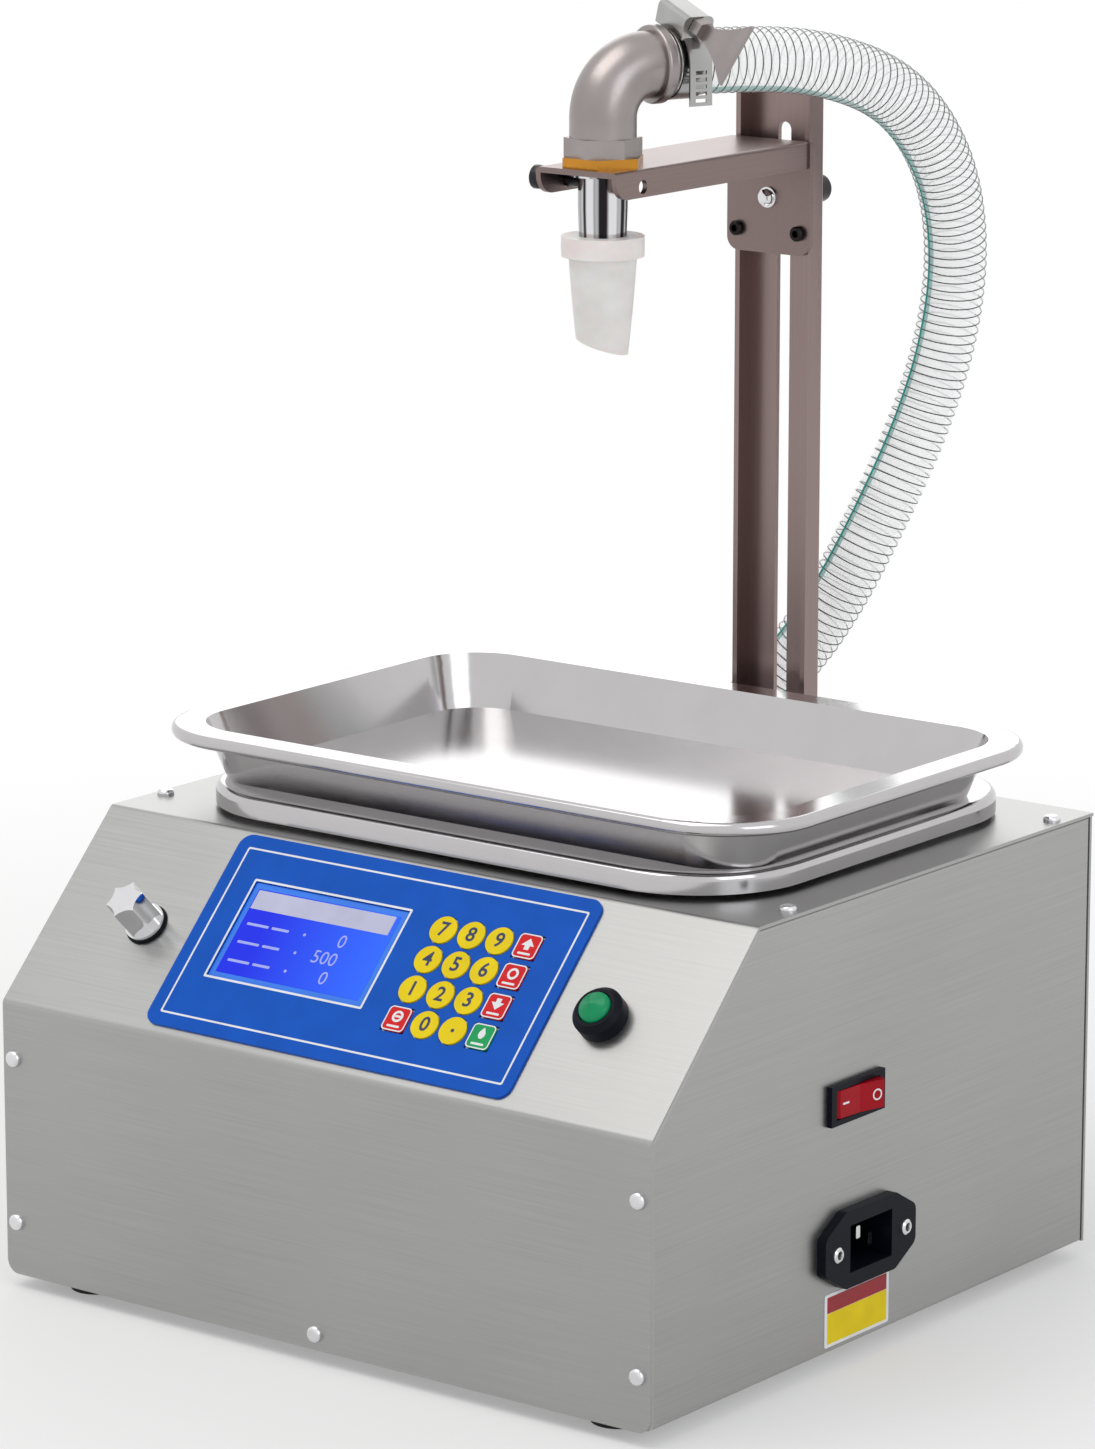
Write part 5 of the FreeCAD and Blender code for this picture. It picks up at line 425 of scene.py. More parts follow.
def lettered(text, height, weight=0.0):
    """Plain figures printed in ink in millimetres, centred on the origin; weight makes them bolder."""
    curve = bpy.data.curves.new("figures", "FONT")
    curve.body = text
    curve.size = height
    curve.align_x = "CENTER"
    curve.align_y = "CENTER"
    curve.extrude = INK / 2
    curve.offset = weight
    curve.resolution_u = 3
    mesh = mesh_of(curve)
    mesh.transform(Matrix.Translation((0, 0, INK / 2)))
    return mesh


def rounded(left, low, right, high, radius):
    """The outline of a rectangle with rounded corners, each in five steps."""
    points = []
    corners = [(right - radius, high - radius, 0), (left + radius, high - radius, 90),
               (left + radius, low + radius, 180), (right - radius, low + radius, 270)]
    for x, y, first in corners:
        for step in range(6):
            angle = math.radians(first + 90 * step / 5)
            points.append((x + radius * math.cos(angle), y + radius * math.sin(angle)))
    return points


def round_outline(radius, steps=32, middle=(0, 0)):
    """The outline of a circle."""
    turns = [2 * math.pi * step / steps for step in range(steps)]
    return [(middle[0] + radius * math.cos(a), middle[1] + radius * math.sin(a)) for a in turns]


def line_round(left, low, right, high, width, outer, inner):
    """The two outlines of a line that runs inside a rounded rectangle's edge."""
    return [rounded(left, low, right, high, outer),
            rounded(left + width, low + width, right - width, high - width, inner)]


def key_frame(place):
    """The middle of a key's top, from its column and row counted from the lower left."""
    column, row = place
    return slope_frame(KEY_FIRST[0] + KEY_PITCH * column, KEY_FIRST[1] + KEY_PITCH * row, KEY_TOP)


def turned(profile, steps=32):
    """A turned piece in millimetres from radius and height, running from axis to axis or as a closed loop."""
    count = len(profile)
    turns = [2 * math.pi * step / steps for step in range(steps)]
    spots = [(radius * math.cos(a), radius * math.sin(a), height) for a in turns for radius, height in profile]
    last = count if profile[0][0] > 0 else count - 1
    faces = []
    for here in range(0, steps * count, count):
        there = (here + count) % (steps * count)
        faces += [(here + i, there + i, there + (i + 1) % count, here + (i + 1) % count) for i in range(last)]
    mesh = bpy.data.meshes.new("turned")
    mesh.from_pydata(spots, [], faces)
    return mesh


def joined(meshes):
    """One mesh out of several."""
    made = bmesh.new()
    for mesh in meshes:
        made.from_mesh(mesh)
        bpy.data.meshes.remove(mesh)
    whole = bpy.data.meshes.new("joined")
    made.to_mesh(whole)
    made.free()
    return whole


def empty_tree(name, sockets):
    """A Geometry Nodes tree with inputs given as (name, kind) and a material; gives it and its inputs."""
    tree = bpy.data.node_groups.new(name, "GeometryNodeTree")
    tree.interface.new_socket(name="Geometry", in_out="INPUT", socket_type="NodeSocketGeometry")
    tree.interface.new_socket(name="Geometry", in_out="OUTPUT", socket_type="NodeSocketGeometry")
    for socket, kind in [*sockets, ("Material", "Material")]:
        tree.interface.new_socket(name=socket, in_out="INPUT", socket_type="NodeSocket" + kind)
    return tree, add(tree, "NodeGroupInput").outputs


def end_tree(tree, given, shape):
    """Ends a tree with Realize Instances and Set Material."""
    real = add(tree, "GeometryNodeRealizeInstances", inputs={0: shape}).outputs[0]
    finished = add(tree, "GeometryNodeSetMaterial", inputs={0: real, "Material": given["Material"]})
    add(tree, "NodeGroupOutput", inputs={0: finished.outputs[0]})


def resampled(tree, given, mode, source):
    """The path that a tree is given, with points by LENGTH apart or by COUNT."""
    path = add(tree, "GeometryNodeMeshToCurve", inputs={0: given["Geometry"]}).outputs[0]
    return add(tree, "GeometryNodeResampleCurve", {"mode": mode},
               {"Curve": path, mode.title(): given[source]}).outputs[0]


def swept(tree, path, radius, sides, caps):
    """A round bar along a path, with or without end caps."""
    ring = add(tree, "GeometryNodeCurvePrimitiveCircle",
               inputs={"Resolution": sides, "Radius": radius}).outputs[0]
    return add(tree, "GeometryNodeCurveToMesh",
               inputs={"Curve": path, "Profile Curve": ring, "Fill Caps": caps}).outputs[0]


def run_tree(tree, mesh, values):
    """The plain mesh that a tree makes of a mesh, with its named inputs set."""
    holder = linked("holder", mesh)
    modifier = holder.modifiers.new("shape", "NODES")
    modifier.node_group = tree
    for item in tree.interface.items_tree:
        if item.in_out == "INPUT" and item.name in values:
            modifier[item.identifier] = values[item.name]
    result = evaluated_mesh(holder)
    holder.modifiers.remove(modifier)
    bpy.data.objects.remove(holder)
    return result


def route_mesh():
    """The hose's centreline as a mesh of edges, from one open NURBS spline along its route."""
    points = [ELBOW_CENTRE + OUTLET * 24.5, ELBOW_CENTRE + OUTLET * 61.5] + [Vector(p) for p in HOSE_ROUTE]
    curve = bpy.data.curves.new("hose_route", "CURVE")
    curve.dimensions = "3D"
    curve.resolution_u = 12
    spline = curve.splines.new("NURBS")
    spline.points.add(len(points) - 1)
    for point, spot in zip(spline.points, points):
        point.co = ((spot + CASING_ORIGIN) * MM).to_4d()
    spline.order_u = 3
    spline.use_endpoint_u = True
    return mesh_of(curve)


def tube_tree():
    """A tube with a bore along a path: an outer and an inner skin, still open at the ends."""
    tree, given = empty_tree("Tube with bore", [
        ("Radius", "Float"), ("Wall", "Float"), ("Sides", "Int"), ("Step", "Float")])
    path = resampled(tree, given, "LENGTH", "Step")
    outside = swept(tree, path, given["Radius"], given["Sides"], False)
    less = add(tree, "ShaderNodeMath", {"operation": "SUBTRACT"},
               {0: given["Radius"], 1: given["Wall"]}).outputs[0]
    inside = swept(tree, path, less, given["Sides"], False)
    inside = add(tree, "GeometryNodeFlipFaces", inputs={0: inside}).outputs[0]
    both = add(tree, "GeometryNodeJoinGeometry")
    tree.links.new(outside, both.inputs[0])
    tree.links.new(inside, both.inputs[0])
    smooth = add(tree, "GeometryNodeSetShadeSmooth", inputs={0: both.outputs[0]}).outputs[0]
    end_tree(tree, given, smooth)
    return tree


def close_ends(mesh, ends):
    """Joins the outer and inner skin of a tube by a ring of faces at each of its two ends."""
    made = bmesh.new()
    made.from_mesh(mesh)
    open_edges = [edge for edge in made.edges if edge.is_boundary]
    for near, far in (ends, ends[::-1]):
        here = [edge for edge in open_edges
                if (edge.verts[0].co - near).length < (edge.verts[0].co - far).length]
        bmesh.ops.bridge_loops(made, edges=here)
    bmesh.ops.recalc_face_normals(made, faces=made.faces)
    made.to_mesh(mesh)
    made.free()


def spring_tree():
    """A wire wound round a path at an even pitch."""
    tree, given = empty_tree("Wire wound on a path", [
        ("Radius", "Float"), ("Pitch", "Float"), ("Wire", "Float"), ("Points", "Int")])
    path = resampled(tree, given, "COUNT", "Points")
    so_far = add(tree, "GeometryNodeSplineParameter").outputs["Length"]
    turns = add(tree, "ShaderNodeMath", {"operation": "DIVIDE"}, {0: so_far, 1: given["Pitch"]}).outputs[0]
    angle = add(tree, "ShaderNodeMath", {"operation": "MULTIPLY"}, {0: turns, 1: 2 * math.pi}).outputs[0]
    normal = add(tree, "GeometryNodeInputNormal").outputs[0]
    tangent = add(tree, "GeometryNodeInputTangent").outputs[0]
    aside = add(tree, "ShaderNodeVectorMath", {"operation": "CROSS_PRODUCT"},
                {0: tangent, 1: normal}).outputs[0]
    parts = []
    for operation, axis in (("COSINE", normal), ("SINE", aside)):
        share = add(tree, "ShaderNodeMath", {"operation": operation}, {0: angle}).outputs[0]
        reach = add(tree, "ShaderNodeMath", {"operation": "MULTIPLY"},
                    {0: share, 1: given["Radius"]}).outputs[0]
        parts.append(add(tree, "ShaderNodeVectorMath", {"operation": "SCALE"},
                         {0: axis, "Scale": reach}).outputs[0])
    offset = add(tree, "ShaderNodeVectorMath", {"operation": "ADD"}, {0: parts[0], 1: parts[1]}).outputs[0]
    wound = add(tree, "GeometryNodeSetPosition", inputs={0: path, "Offset": offset}).outputs[0]
    wire = swept(tree, wound, given["Wire"], 5, True)
    smooth = add(tree, "GeometryNodeSetShadeSmooth", inputs={0: wire}).outputs[0]
    end_tree(tree, given, smooth)
    return tree


def stripe_tree():
    """A thin line laid in the wall of a hose, on the side that faces a point."""
    tree, given = empty_tree("Line in the wall", [
        ("Radius", "Float"), ("Thickness", "Float"), ("Faces", "Vector"), ("Step", "Float")])
    path = resampled(tree, given, "LENGTH", "Step")
    here = add(tree, "GeometryNodeInputPosition").outputs[0]
    tangent = add(tree, "GeometryNodeInputTangent").outputs[0]
    towards = add(tree, "ShaderNodeVectorMath", {"operation": "SUBTRACT"},
                  {0: given["Faces"], 1: here}).outputs[0]
    along = add(tree, "ShaderNodeVectorMath", {"operation": "PROJECT"}, {0: towards, 1: tangent}).outputs[0]
    square = add(tree, "ShaderNodeVectorMath", {"operation": "SUBTRACT"}, {0: towards, 1: along}).outputs[0]
    unit = add(tree, "ShaderNodeVectorMath", {"operation": "NORMALIZE"}, {0: square}).outputs[0]
    offset = add(tree, "ShaderNodeVectorMath", {"operation": "SCALE"},
                 {0: unit, "Scale": given["Radius"]}).outputs[0]
    moved = add(tree, "GeometryNodeSetPosition", inputs={0: path, "Offset": offset}).outputs[0]
    line = swept(tree, moved, given["Thickness"], 8, True)
    smooth = add(tree, "GeometryNodeSetShadeSmooth", inputs={0: line}).outputs[0]
    end_tree(tree, given, smooth)
    return tree


def row_tree():
    """Copies one shape onto every point of a mesh, all turned the same way."""
    tree, given = empty_tree("Shape on points", [("Shape", "Object"), ("Turn", "Rotation")])
    points = add(tree, "GeometryNodeMeshToPoints", inputs={0: given["Geometry"]}).outputs[0]
    shape = add(tree, "GeometryNodeObjectInfo", inputs={"Object": given["Shape"]}).outputs["Geometry"]
    copies = add(tree, "GeometryNodeInstanceOnPoints", inputs={"Points": points, "Instance": shape,
                                                               "Rotation": given["Turn"]}).outputs[0]
    end_tree(tree, given, copies)
    return tree


def repeated(name, shape, places, turn, finish, body):
    """Like small metal pieces from one shape in millimetres, on casing places, made by the row tree."""
    spots = bpy.data.meshes.new("spots")
    spots.from_pydata([casing_frame(*spot).translation for spot in places], [], [])
    shape.transform(Matrix.Scale(MM, 4))
    source = linked("shape", shape)
    tree = bpy.data.node_groups.get("Shape on points") or row_tree()
    mesh = run_tree(tree, spots, {"Shape": source, "Turn": turn.to_euler(), "Material": material_named(finish)})
    bpy.data.objects.remove(source)
    piece(name, mesh, Matrix.Identity(4), finish, body, 40)


class FILLER_OT_finishes(bpy.types.Operator):
    """Make the finishes of every real material on the machine"""
    bl_idname = "filler.finishes"
    bl_label = "Finishes"

    def execute(self, context):
        metals, plastics, _, _ = settings(context)
        brushed_sheet("brushed_stainless_across", metals.steel, "X", 0.34)
        brushed_sheet("brushed_stainless_lengthwise", metals.steel, "Y", 0.36)
        brushed_sheet("hairline_dark_stainless", metals.column, "Z", 0.3)
        brushed_sheet("hairline_dark_stainless_arm", tinted(metals.column, 0.85), "Y", 0.34)
        machined_metal("mirror_polished_stainless", metals.tray, 0.15, 0.002, 0.02, 0.02)
        machined_metal("cast_stainless", metals.casting, 0.32, 0.0009, 0.25)
        machined_metal("plated_chrome", metals.chrome, 0.08, 0.003, 0.02, 0.04)
        # the fill nipple's chrome gets painted reflection bands, dark and bright, in its colour
        chrome_with_painted_reflection("chromed_tube", metals.chrome, linear("#262427"), casing_frame(*ELBOW_CENTRE).translation)
        machined_metal("zinc_plated_steel", metals.chrome, 0.26, 0.0008)
        machined_metal("turned_brass", metals.brass, 0.22, 0.0012, 0.2, 0.14)
        machined_metal("machined_aluminium", metals.aluminium, 0.35, 0.0007)
        machined_metal("turned_stainless", metals.steel, 0.22, 0.0006)
        # dark steel for the black carriage screws, also used as painted shade in the inlet screws' recesses
        machined_metal("blackened_steel_and_recess_shade", linear("#2A2627"), 0.35, 0.0008)
        machined_metal("spring_wire", linear("#55585A"), 0.3, 0.0008)
        moulded_plastic("screen_printed_film", plastics.overlay, 0.45, 0.0007, 0.12,
                        {"Specular IOR Level": 0.15})
        moulded_plastic("white_ink", plastics.white_print, 0.5)
        moulded_plastic("blue_black_ink", plastics.digit, 0.5)
        for name, base in (("yellow_key_film", plastics.number_key), ("red_key_film", plastics.function_key),
                           ("green_key_film", plastics.start_key)):
            moulded_plastic(name, base, 0.45, extra={"Specular IOR Level": 0.2})
        moulded_plastic("dark_red_film", linear("#9D1522"), 0.45)
        moulded_plastic("green_polycarbonate", plastics.start_button, 0.18,
                        extra={"Specular IOR Level": 0.2, "Coat Weight": 0.12, "Coat Roughness": 0.06})
        moulded_plastic("red_polycarbonate", plastics.rocker, 0.3, extra={"Specular IOR Level": 0.15})
        moulded_plastic("black_polyamide", plastics.black, 0.42, extra={"Specular IOR Level": 0.12})
        moulded_plastic("black_phenolic", tinted(plastics.black, 0.8), 0.28, extra={"Specular IOR Level": 0.4})
        moulded_plastic("black_rubber", plastics.rubber, 0.7, 0.0009, 0.25)
        moulded_plastic("motor_enamel", plastics.paint, 0.35)
        moulded_plastic("green_circuit_board", linear("#1F5B38"), 0.45)
        moulded_plastic("moulded_silicone", plastics.silicone, 0.42, 0.0012, 0.08,
                        {"IOR": 1.41, "Subsurface Weight": 0.4, "Subsurface Scale": 0.003})
        moulded_plastic("teal_pvc", plastics.stripe, 0.4)
        moulded_plastic("pale_screen_film", plastics.screen_bar, 0.4)
        moulded_plastic("lit_figures", linear("#A9B4FF"), 0.4)
        moulded_plastic("azure_screen_edge", linear("#1C7CF4"), 0.35)
        lit_screen("lit_liquid_crystal", plastics.screen)
        # Extruded clear plasticised PVC: a wet, milky skin, with a painted glow (a weak emission) in place of the
        # light it passes on from behind
        moulded_plastic("flexible_clear_pvc", linear("#FDFEFE"), 0.12, 0.004, 0.05,
                        {"IOR": 1.35, "Alpha": 0.38, "Emission Strength": 0.2})
        return {"FINISHED"}


class FILLER_OT_casing(bpy.types.Operator):
    """Finish the folded casing, its screws and feet"""
    bl_idname = "filler.casing"
    bl_label = "Casing"

    def execute(self, context):
        give(["wrap_cover", "rear_panel", "base_pan"], "brushed_stainless_across")
        give(["left_side_panel", "right_side_panel"], "brushed_stainless_lengthwise")
        give(["panel_screws", "column_bolts"], "zinc_plated_steel")
        give(["rubber_feet"], "black_rubber")
        return {"FINISHED"}


class FILLER_OT_inside(bpy.types.Operator):
    """Finish the pump, motor, load cell and boards inside"""
    bl_idname = "filler.inside"
    bl_label = "Inside"

    def execute(self, context):
        give(["pump_body", "pump_cover", "drive_gear", "idler_gear", "outlet_fitting", "inlet_fitting"],
             "turned_stainless")
        give(["motor_bracket", "scale_beam", "power_supply", "shaft_coupling", "speed_potentiometer"],
             "zinc_plated_steel")
        give(["load_cell"], "machined_aluminium")
        give(["pump_motor"], "motor_enamel")
        give(["display_board"], "green_circuit_board")
        return {"FINISHED"}


class FILLER_OT_weighing(bpy.types.Operator):
    """Finish the weighing pan and its loose tray"""
    bl_idname = "filler.weighing"
    bl_label = "Weighing tray"

    def execute(self, context):
        give(["tray", "scale_pan"], "mirror_polished_stainless")
        return {"FINISHED"}


class FILLER_OT_column(bpy.types.Operator):
    """Finish the column, arm and nozzle stack"""
    bl_idname = "filler.column"
    bl_label = "Column and nozzle"

    def execute(self, context):
        give(["column"], "hairline_dark_stainless")
        give(["arm"], "hairline_dark_stainless_arm")
        give(["slide_block"], "zinc_plated_steel")
        give(["column_knob", "nozzle_knob"], "black_phenolic")
        give(["elbow", "hose_barb", "hose_clamp_key"], "cast_stainless")
        give(["hose_clamp"], "turned_stainless")
        give(["brass_lock_nut"], "turned_brass")
        give(["fill_nipple"], "chromed_tube")
        give(["duckbill_nozzle"], "moulded_silicone")
        return {"FINISHED"}


class FILLER_OT_controls(bpy.types.Operator):
    """Finish the overlay, keys, start switch, knob, rocker and inlet"""
    bl_idname = "filler.controls"
    bl_label = "Controls"

    def execute(self, context):
        give(["keypad_overlay"], "screen_printed_film")
        give(["key_" + figure for figure in NUMBER_KEYS], "yellow_key_film")
        give(["key_up", "key_set", "key_down", "key_clear"], "red_key_film")
        give(["key_start"], "green_key_film")
        give(["start_switch_body", "rocker_switch_body", "mains_inlet"], "black_polyamide")
        give(["start_button"], "green_polycarbonate")
        give(["rocker"], "red_polycarbonate")
        give(["speed_knob"], "plated_chrome")
        return {"FINISHED"}


class FILLER_OT_prints(bpy.types.Operator):
    """Print the thin border, the figures on the round keys and the signs on the square ones"""
    bl_idname = "filler.prints"
    bl_label = "Prints"

    def execute(self, context):
        sizes = settings(context)[2]
        line = sizes.print_line / MM
        for name, outlines in (("overlay_border", line_round(-72, 8.3, 75.5, 76, line, 0.8, 0.5)),
                               ("window_border", line_round(-62.3, 24.5, 7.1, 64.5, 0.8, 0.6, 0.3))):
            piece(name, flat_shape(outlines, LINE_INK), slope_frame(0, 0, OVERLAY_TOP), "white_ink", "casing")
        for figure, place in NUMBER_KEYS.items():
            if figure == "point":
                mesh = flat_shape([round_outline(0.7, 16)], INK)
            else:
                mesh = lettered(figure, sizes.digit_height / MM, 0.14)
            piece("figure_" + figure, mesh, key_frame(place), "blue_black_ink", f"key_{figure}_cap")
        circle = [round_outline(2.2, 24, (0, 0.9)), round_outline(1.3, 24, (0, 0.9))]
        signs = {
            "up": [[(-2.6, 0.2), (0, 3.0), (2.6, 0.2), (1, 0.2), (1, -1.4), (-1, -1.4), (-1, 0.2)]],
            "down": [[(-1, 3), (1, 3), (1, 1.4), (2.6, 1.4), (0, -1.4), (-2.6, 1.4), (-1, 1.4)]],
            "set": circle,
            "clear": [*circle, rounded(-1.2, 0.5, 1.2, 1.3, 0.2)],
            "start": [[(-0.2, 3.3), (0.2, 3.3), (1.3, 1.4), (1.3, 0.2), (0.5, -0.9), (-0.5, -0.9), (-1.3, 0.2),
                       (-1.3, 1.4)]],
        }
        edge = line_round(-4.65, -4.65, 4.65, 4.65, 0.45, 1.6, 1.2)
        bar = [rounded(-2.6, -3.3, 2.6, -2.5, 0.3)]
        for name, outlines in signs.items():
            mesh = joined([flat_shape(each, INK) for each in (outlines, edge, bar)])
            piece("sign_" + name, mesh, key_frame(FUNCTION_KEYS[name]), "white_ink", f"key_{name}_cap")
        return {"FINISHED"}


class FILLER_OT_display(bpy.types.Operator):
    """Fill the window with the lit display and its plain figures"""
    bl_idname = "filler.display"
    bl_label = "Display"

    def execute(self, context):
        for name, outline, thickness, out, finish in (
                ("screen_edge", rounded(-61.3, 25.5, 6.1, 63.5, 0.4), 0.5, -0.25, "azure_screen_edge"),
                ("screen_glass", rounded(-59, 27.6, 3.6, 61.2, 0.4), 0.1, 0.25, "lit_liquid_crystal"),
                ("screen_bar", rounded(-58.6, 53.4, 1.8, 60.8, 0.3), INK, SCREEN_TOP, "pale_screen_film")):
            piece(name, flat_shape([outline], thickness), slope_frame(0, 0, out), finish, "casing")
        figures = []
        right_edge = -13
        for text, up in zip(("0", "500", "0"), DISPLAY_ROWS):
            mesh = lettered(text, 7.2)
            wide = max(v.co.x for v in mesh.vertices)
            mesh.transform(Matrix.Translation((right_edge - wide, up, 0)))
            figures.append(mesh)
        for up in DISPLAY_ROWS:
            for start, end in ((-56.5, -47), (-45.5, -38)):
                figures.append(flat_shape([rounded(start, up - 0.5, end, up + 0.5, 0.3)], INK))
            figures.append(flat_shape([round_outline(0.6, 10, (-31, up))], INK))
        piece("screen_figures", joined(figures), slope_frame(0, 0, SCREEN_TOP), "lit_figures", "casing")
        return {"FINISHED"}


class FILLER_OT_side(bpy.types.Operator):
    """Mark the rocker, screw the inlet on and stick the blank plate below it"""
    bl_idname = "filler.side"
    bl_label = "Switch side"

    def execute(self, context):
        right = quarter("Z") @ quarter("X")
        head = turned([(0, 0.4), (1.3, 0.4), (1.5, 1.3), (2.1, 1.3), (2.7, 0.8), (2.8, 0.2), (2.8, -0.2),
                       (0, -0.2)], 24)
        # a dark disc at the floor of each inlet screw head's recess: painted shade
        recess_shade_disc = turned([(0, 0.5), (1.28, 0.5), (1.28, 0.35), (0, 0.35)], 16)
        sleeve = flat_shape([rounded(-1.15, -2.15, 1.15, 2.15, 0.5)], 15.1)
        heads = [(RIGHT_FACE + 3.6, INLET_Y + side * 20, INLET_Z) for side in (-1, 1)]
        pins = [(RIGHT_FACE - 16.9, INLET_Y + along, INLET_Z + up) for along, up in ((-7, -2), (0, 2), (7, -2))]
        for name, shape, places, finish in (("inlet_screws", head, heads, "plated_chrome"),
                                            ("inlet_screw_recesses", recess_shade_disc, heads, "blackened_steel_and_recess_shade"),
                                            ("inlet_pin_sleeves", sleeve, pins, "plated_chrome")):
            repeated(name, shape, places, right, finish, "casing")
        bar = [rounded(-1.7, -0.35, 1.7, 0.35, 0.3)]
        circle = [round_outline(2.0, 28), round_outline(1.45, 28)]
        for name, outlines, along in (("rocker_bar", bar, -7.4), ("rocker_circle", circle, 7.4)):
            start = casing_frame(RIGHT_FACE + 20.5, ROCKER_Y + along, ROCKER_Z).translation
            spot, normal = surface_at("rocker", start, Vector((-1, 0, 0)))
            place = Matrix.Translation(spot) @ facing(normal) @ Matrix.Scale(MM, 4)
            piece(name, flat_shape(outlines, INK), place, "white_ink", "mains_rocker")
        stuck = casing_frame(RIGHT_FACE, PLATE_Y, PLATE_Z, right)
        plate = flat_shape([rounded(-18.8, -9.3, 18.8, 9.3, 0.8)], 0.2)
        piece("blank_plate", plate, stuck, "white_ink", "casing")
        raised = stuck @ Matrix.Translation((0, 0, 0.15))
        for name, low, high, finish in (("blank_plate_band", 2.6, 8.2, "dark_red_film"),
                                        ("blank_plate_field", -8.2, 2.5, "yellow_key_film")):
            piece(name, flat_shape([rounded(-17.4, low, 17.4, high, 0.3)], 0.1), raised, finish, "casing")
        return {"FINISHED"}


class FILLER_OT_hose(bpy.types.Operator):
    """Lay the clear hose with its spring wire and stripe from the barb to the outlet at the back"""
    bl_idname = "filler.hose"
    bl_label = "Hose"

    def execute(self, context):
        sizes = settings(context)[2]
        radius = sizes.hose_diameter / 2
        path = route_mesh()
        points = [v.co.copy() for v in path.vertices]
        span = sum((b - a).length for a, b in zip(points, points[1:]))
        tube = {"Radius": radius - SKIN_DEPTH * MM, "Wall": sizes.hose_wall, "Sides": HOSE_SIDES,
                "Step": HOSE_STEP * MM}
        wire = {"Radius": radius - sizes.wire_radius - WIRE_DEPTH * MM, "Pitch": sizes.wire_pitch,
                "Wire": sizes.wire_radius, "Points": int(span / sizes.wire_pitch * WIRE_POINTS)}
        stripe = {"Radius": radius - sizes.stripe_radius, "Thickness": sizes.stripe_radius,
                  "Faces": casing_frame(*STRIPE_SIDE).translation, "Step": STRIPE_STEP * MM}
        for name, tree, values, finish in (("hose_tube", tube_tree(), tube, "flexible_clear_pvc"),
                                           ("hose_wire", spring_tree(), wire, "spring_wire"),
                                           ("hose_stripe", stripe_tree(), stripe, "teal_pvc")):
            material = material_named(finish)
            mesh = run_tree(tree, path.copy(), {**values, "Material": material})
            if name == "hose_tube":
                close_ends(mesh, (points[0], points[-1]))
            painted(mesh, material)
            thing = linked(name, mesh)
            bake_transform(thing)
        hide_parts("delivery_hose")
        return {"FINISHED"}


class FILLER_OT_trim(bpy.types.Operator):
    """Add the small screws on the carriage, the knob's ring and the lower hose clamp"""
    bl_idname = "filler.trim"
    bl_label = "Small trim"

    def execute(self, context):
        front = quarter("X")
        # the carriage plate is the rearmost part of the arm and 2 mm thick
        arm_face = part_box("arm")[1].y / MM - CASING_ORIGIN.y - 2.0
        socket = turned([(1.3, 0.4), (1.3, 2.2), (2.2, 2.2), (2.7, 1.7), (2.7, 0.0), (0.0, 0.0), (0.0, 0.4)], 24)
        repeated("carriage_screws", socket, [(side * 13.3, arm_face, 350) for side in (-1, 1)], front,
                 "blackened_steel_and_recess_shade", "carriage")
        end = turned([(0, 3.2), (1.8, 3.1), (2.9, 2.4), (3.05, 1.0), (3.7, 0.9), (3.7, 0.0), (0, 0.0)], 24)
        repeated("clamp_bolt_end", end, [(0, arm_face, 362)], front, "plated_chrome", "carriage")
        ring = turned([(7.2, 0.05), (7.7, 0.05), (7.9, 0.5), (7.6, 1.3), (7.2, 1.3)], 40)
        piece("knob_ring", ring, slope_frame(*KNOB_MIDDLE, 0), "black_polyamide", "casing", smooth=40)
        band = turned([(11.65, -4.5), (12.35, -4.5), (12.35, 4.5), (11.65, 4.5)], 48)
        box = turned([(0, -6), (2.6, -6), (3.4, -5.2), (3.4, 5.2), (2.6, 6), (0, 6)], 20)
        box.transform(Matrix.Translation((0, 14.4, 0)) @ quarter("Y"))
        piece("lower_hose_clamp", joined([band, box]), casing_frame(-42, 288, 121), "zinc_plated_steel",
              "casing", 40)
        return {"FINISHED"}


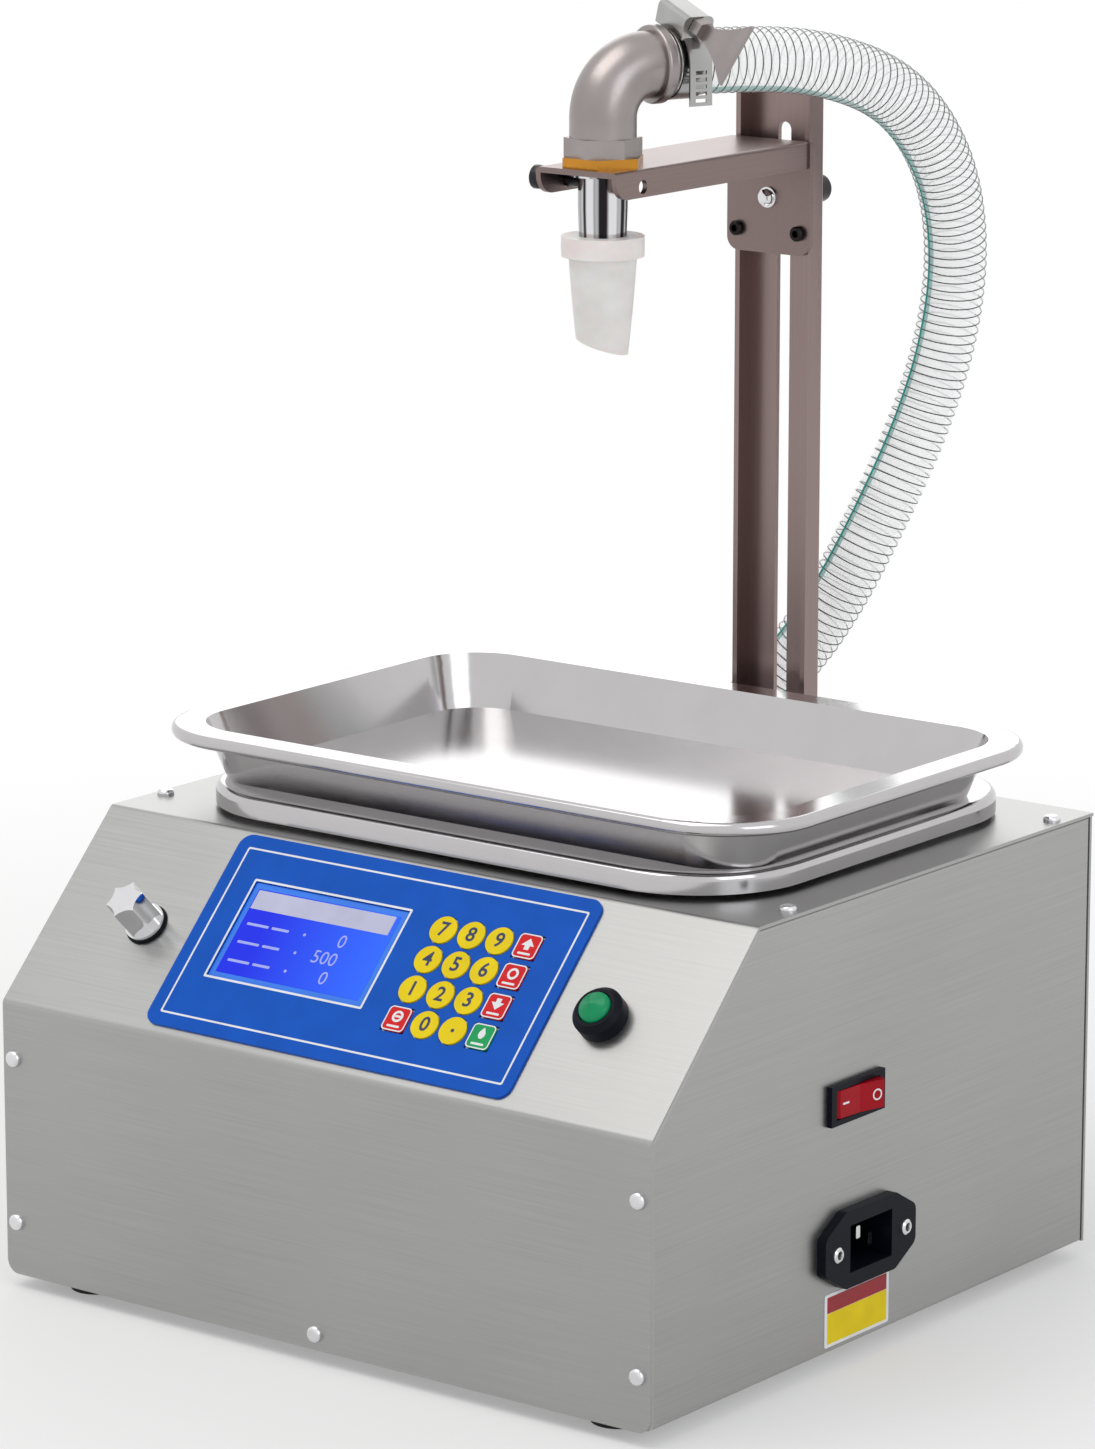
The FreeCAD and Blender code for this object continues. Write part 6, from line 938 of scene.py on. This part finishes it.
class FILLER_OT_stage(bpy.types.Operator):
    """Set up the camera, the pale floor and the soft lamps"""
    bl_idname = "filler.stage"
    bl_label = "Stage"

    def execute(self, context):
        stage = settings(context)[3]
        scene = context.scene
        camera = linked("camera", bpy.data.cameras.new("camera"))
        camera.data.sensor_width = 36
        camera.data.lens = stage.lens
        camera.data.clip_start = 0.05
        turn, tilt = stage.azimuth, stage.elevation
        right = Vector((math.cos(turn), math.sin(turn), 0))
        ahead = Vector((-math.sin(turn) * math.cos(tilt), math.cos(turn) * math.cos(tilt), -math.sin(tilt)))
        axes = Matrix((right, right.cross(ahead), -ahead)).transposed().to_4x4()
        camera.matrix_world = Matrix.Translation(stage.camera_place) @ axes
        scene.camera = camera
        self.floor(stage)
        self.lamps(stage)
        self.sky(scene, stage)
        scene.view_settings.view_transform = "Standard"
        return {"FINISHED"}

    def floor(self, stage):
        """A sheet of paper far wider than the machine."""
        mesh = bpy.data.meshes.new("floor")
        mesh.from_pydata([(-6, -6, 0), (6, -6, 0), (6, 6, 0), (-6, 6, 0)], [], [(0, 1, 2, 3)])
        linked("floor", mesh)
        material, tree, shader, place = start_material("seamless_paper", {"Base Color": stage.floor,
                                                                          "Roughness": 0.9, "IOR": 1.3})
        # the paper keeps the shadow near the machine and turns into the white background further off
        away = add(tree, "ShaderNodeVectorMath", {"operation": "LENGTH"}, {0: place}).outputs["Value"]
        share = add(tree, "ShaderNodeMapRange", inputs={0: away, 1: 0.2, 2: 0.8, 3: 0.3, 4: 1.0}).outputs[0]
        mixed = add(tree, "ShaderNodeMath", {"operation": "MULTIPLY"}, {0: share, 1: self.seen(tree)}).outputs[0]
        glow = add(tree, "ShaderNodeEmission", inputs={"Strength": 1.0}).outputs[0]
        both = add(tree, "ShaderNodeMixShader", inputs={0: mixed, 1: shader.outputs[0], 2: glow}).outputs[0]
        tree.links.new(both, tree.nodes["Material Output"].inputs["Surface"])
        mesh.materials.append(material)

    def seen(self, tree):
        """One for rays from the camera, off shiny metal and through clear plastic, otherwise none."""
        rays = add(tree, "ShaderNodeLightPath")
        either = add(tree, "ShaderNodeMath", {"operation": "MAXIMUM"},
                     {0: rays.outputs["Is Camera Ray"], 1: rays.outputs["Is Glossy Ray"]}).outputs[0]
        return add(tree, "ShaderNodeMath", {"operation": "MAXIMUM"},
                   {0: either, 1: rays.outputs["Is Transmission Ray"]}).outputs[0]

    def lamps(self, stage):
        """Three soft square lamps that all face the machine's middle."""
        aim = Vector((0, 0, 0.2))
        lamps = [("key_lamp", (-0.4, -0.7, 2.1), 1.5, stage.key_power, "#FFFDFA"),
                 ("fill_lamp", (1.9, -0.6, 1.1), 1.2, stage.fill_power, "#F4F8FF"),
                 ("rear_lamp", (-1.1, 1.4, 1.0), 1.2, 0.6 * stage.fill_power, "#FFFFFF")]
        for name, spot, size, power, code in lamps:
            data = bpy.data.lights.new(name, "AREA")
            data.size = size
            data.energy = power
            data.color = linear(code)[:3]
            turn = (Vector(spot) - aim).to_track_quat("Z", "Y").to_matrix().to_4x4()
            linked(name, data).matrix_world = Matrix.Translation(spot) @ turn

    def sky(self, scene, stage):
        """Even white light, and a plain white background wherever it is seen."""
        world = bpy.data.worlds.new("studio")
        scene.world = world
        world.use_nodes = True
        tree = world.node_tree
        backdrop = tree.nodes["Background"]
        backdrop.inputs["Color"].default_value = (1, 1, 1, 1)
        strength = add(tree, "ShaderNodeMapRange", inputs={0: self.seen(tree), 3: stage.sky, 4: 1.0}).outputs[0]
        tree.links.new(strength, backdrop.inputs["Strength"])


OPERATORS = [FILLER_OT_stage, FILLER_OT_finishes, FILLER_OT_hose, FILLER_OT_casing, FILLER_OT_inside,
             FILLER_OT_weighing, FILLER_OT_column, FILLER_OT_controls, FILLER_OT_prints, FILLER_OT_display,
             FILLER_OT_side, FILLER_OT_trim]
GROUPS = {"filler_metals": FILLER_PG_metals, "filler_plastics": FILLER_PG_plastics,
          "filler_sizes": FILLER_PG_sizes, "filler_stage": FILLER_PG_stage}


class FILLER_PT_sidebar(bpy.types.Panel):
    """Lists the steps that dress the machine, with their sizes and colours"""
    bl_idname = "FILLER_PT_sidebar"
    bl_label = "Honey filling machine"
    bl_space_type = "VIEW_3D"
    bl_region_type = "UI"
    bl_category = "Filler"

    def draw(self, context):
        for group in GROUPS:
            box = self.layout.box()
            values = getattr(context.scene, group)
            for name in values.bl_rna.properties.keys():
                if name not in ("rna_type", "name"):
                    box.prop(values, name)
        for operator in OPERATORS:
            self.layout.operator(operator.bl_idname)


def register():
    for kind in [*GROUPS.values(), *OPERATORS, FILLER_PT_sidebar]:
        bpy.utils.register_class(kind)
    for name, kind in GROUPS.items():
        setattr(bpy.types.Scene, name, bpy.props.PointerProperty(type=kind))


def unregister():
    for name in GROUPS:
        delattr(bpy.types.Scene, name)
    for kind in reversed([*GROUPS.values(), *OPERATORS, FILLER_PT_sidebar]):
        bpy.utils.unregister_class(kind)


def main():
    """Makes the whole dressed machine."""
    register()
    for operator in OPERATORS:
        group, name = operator.bl_idname.split(".")
        getattr(getattr(bpy.ops, group), name)()


if __name__ == "__main__":
    main()
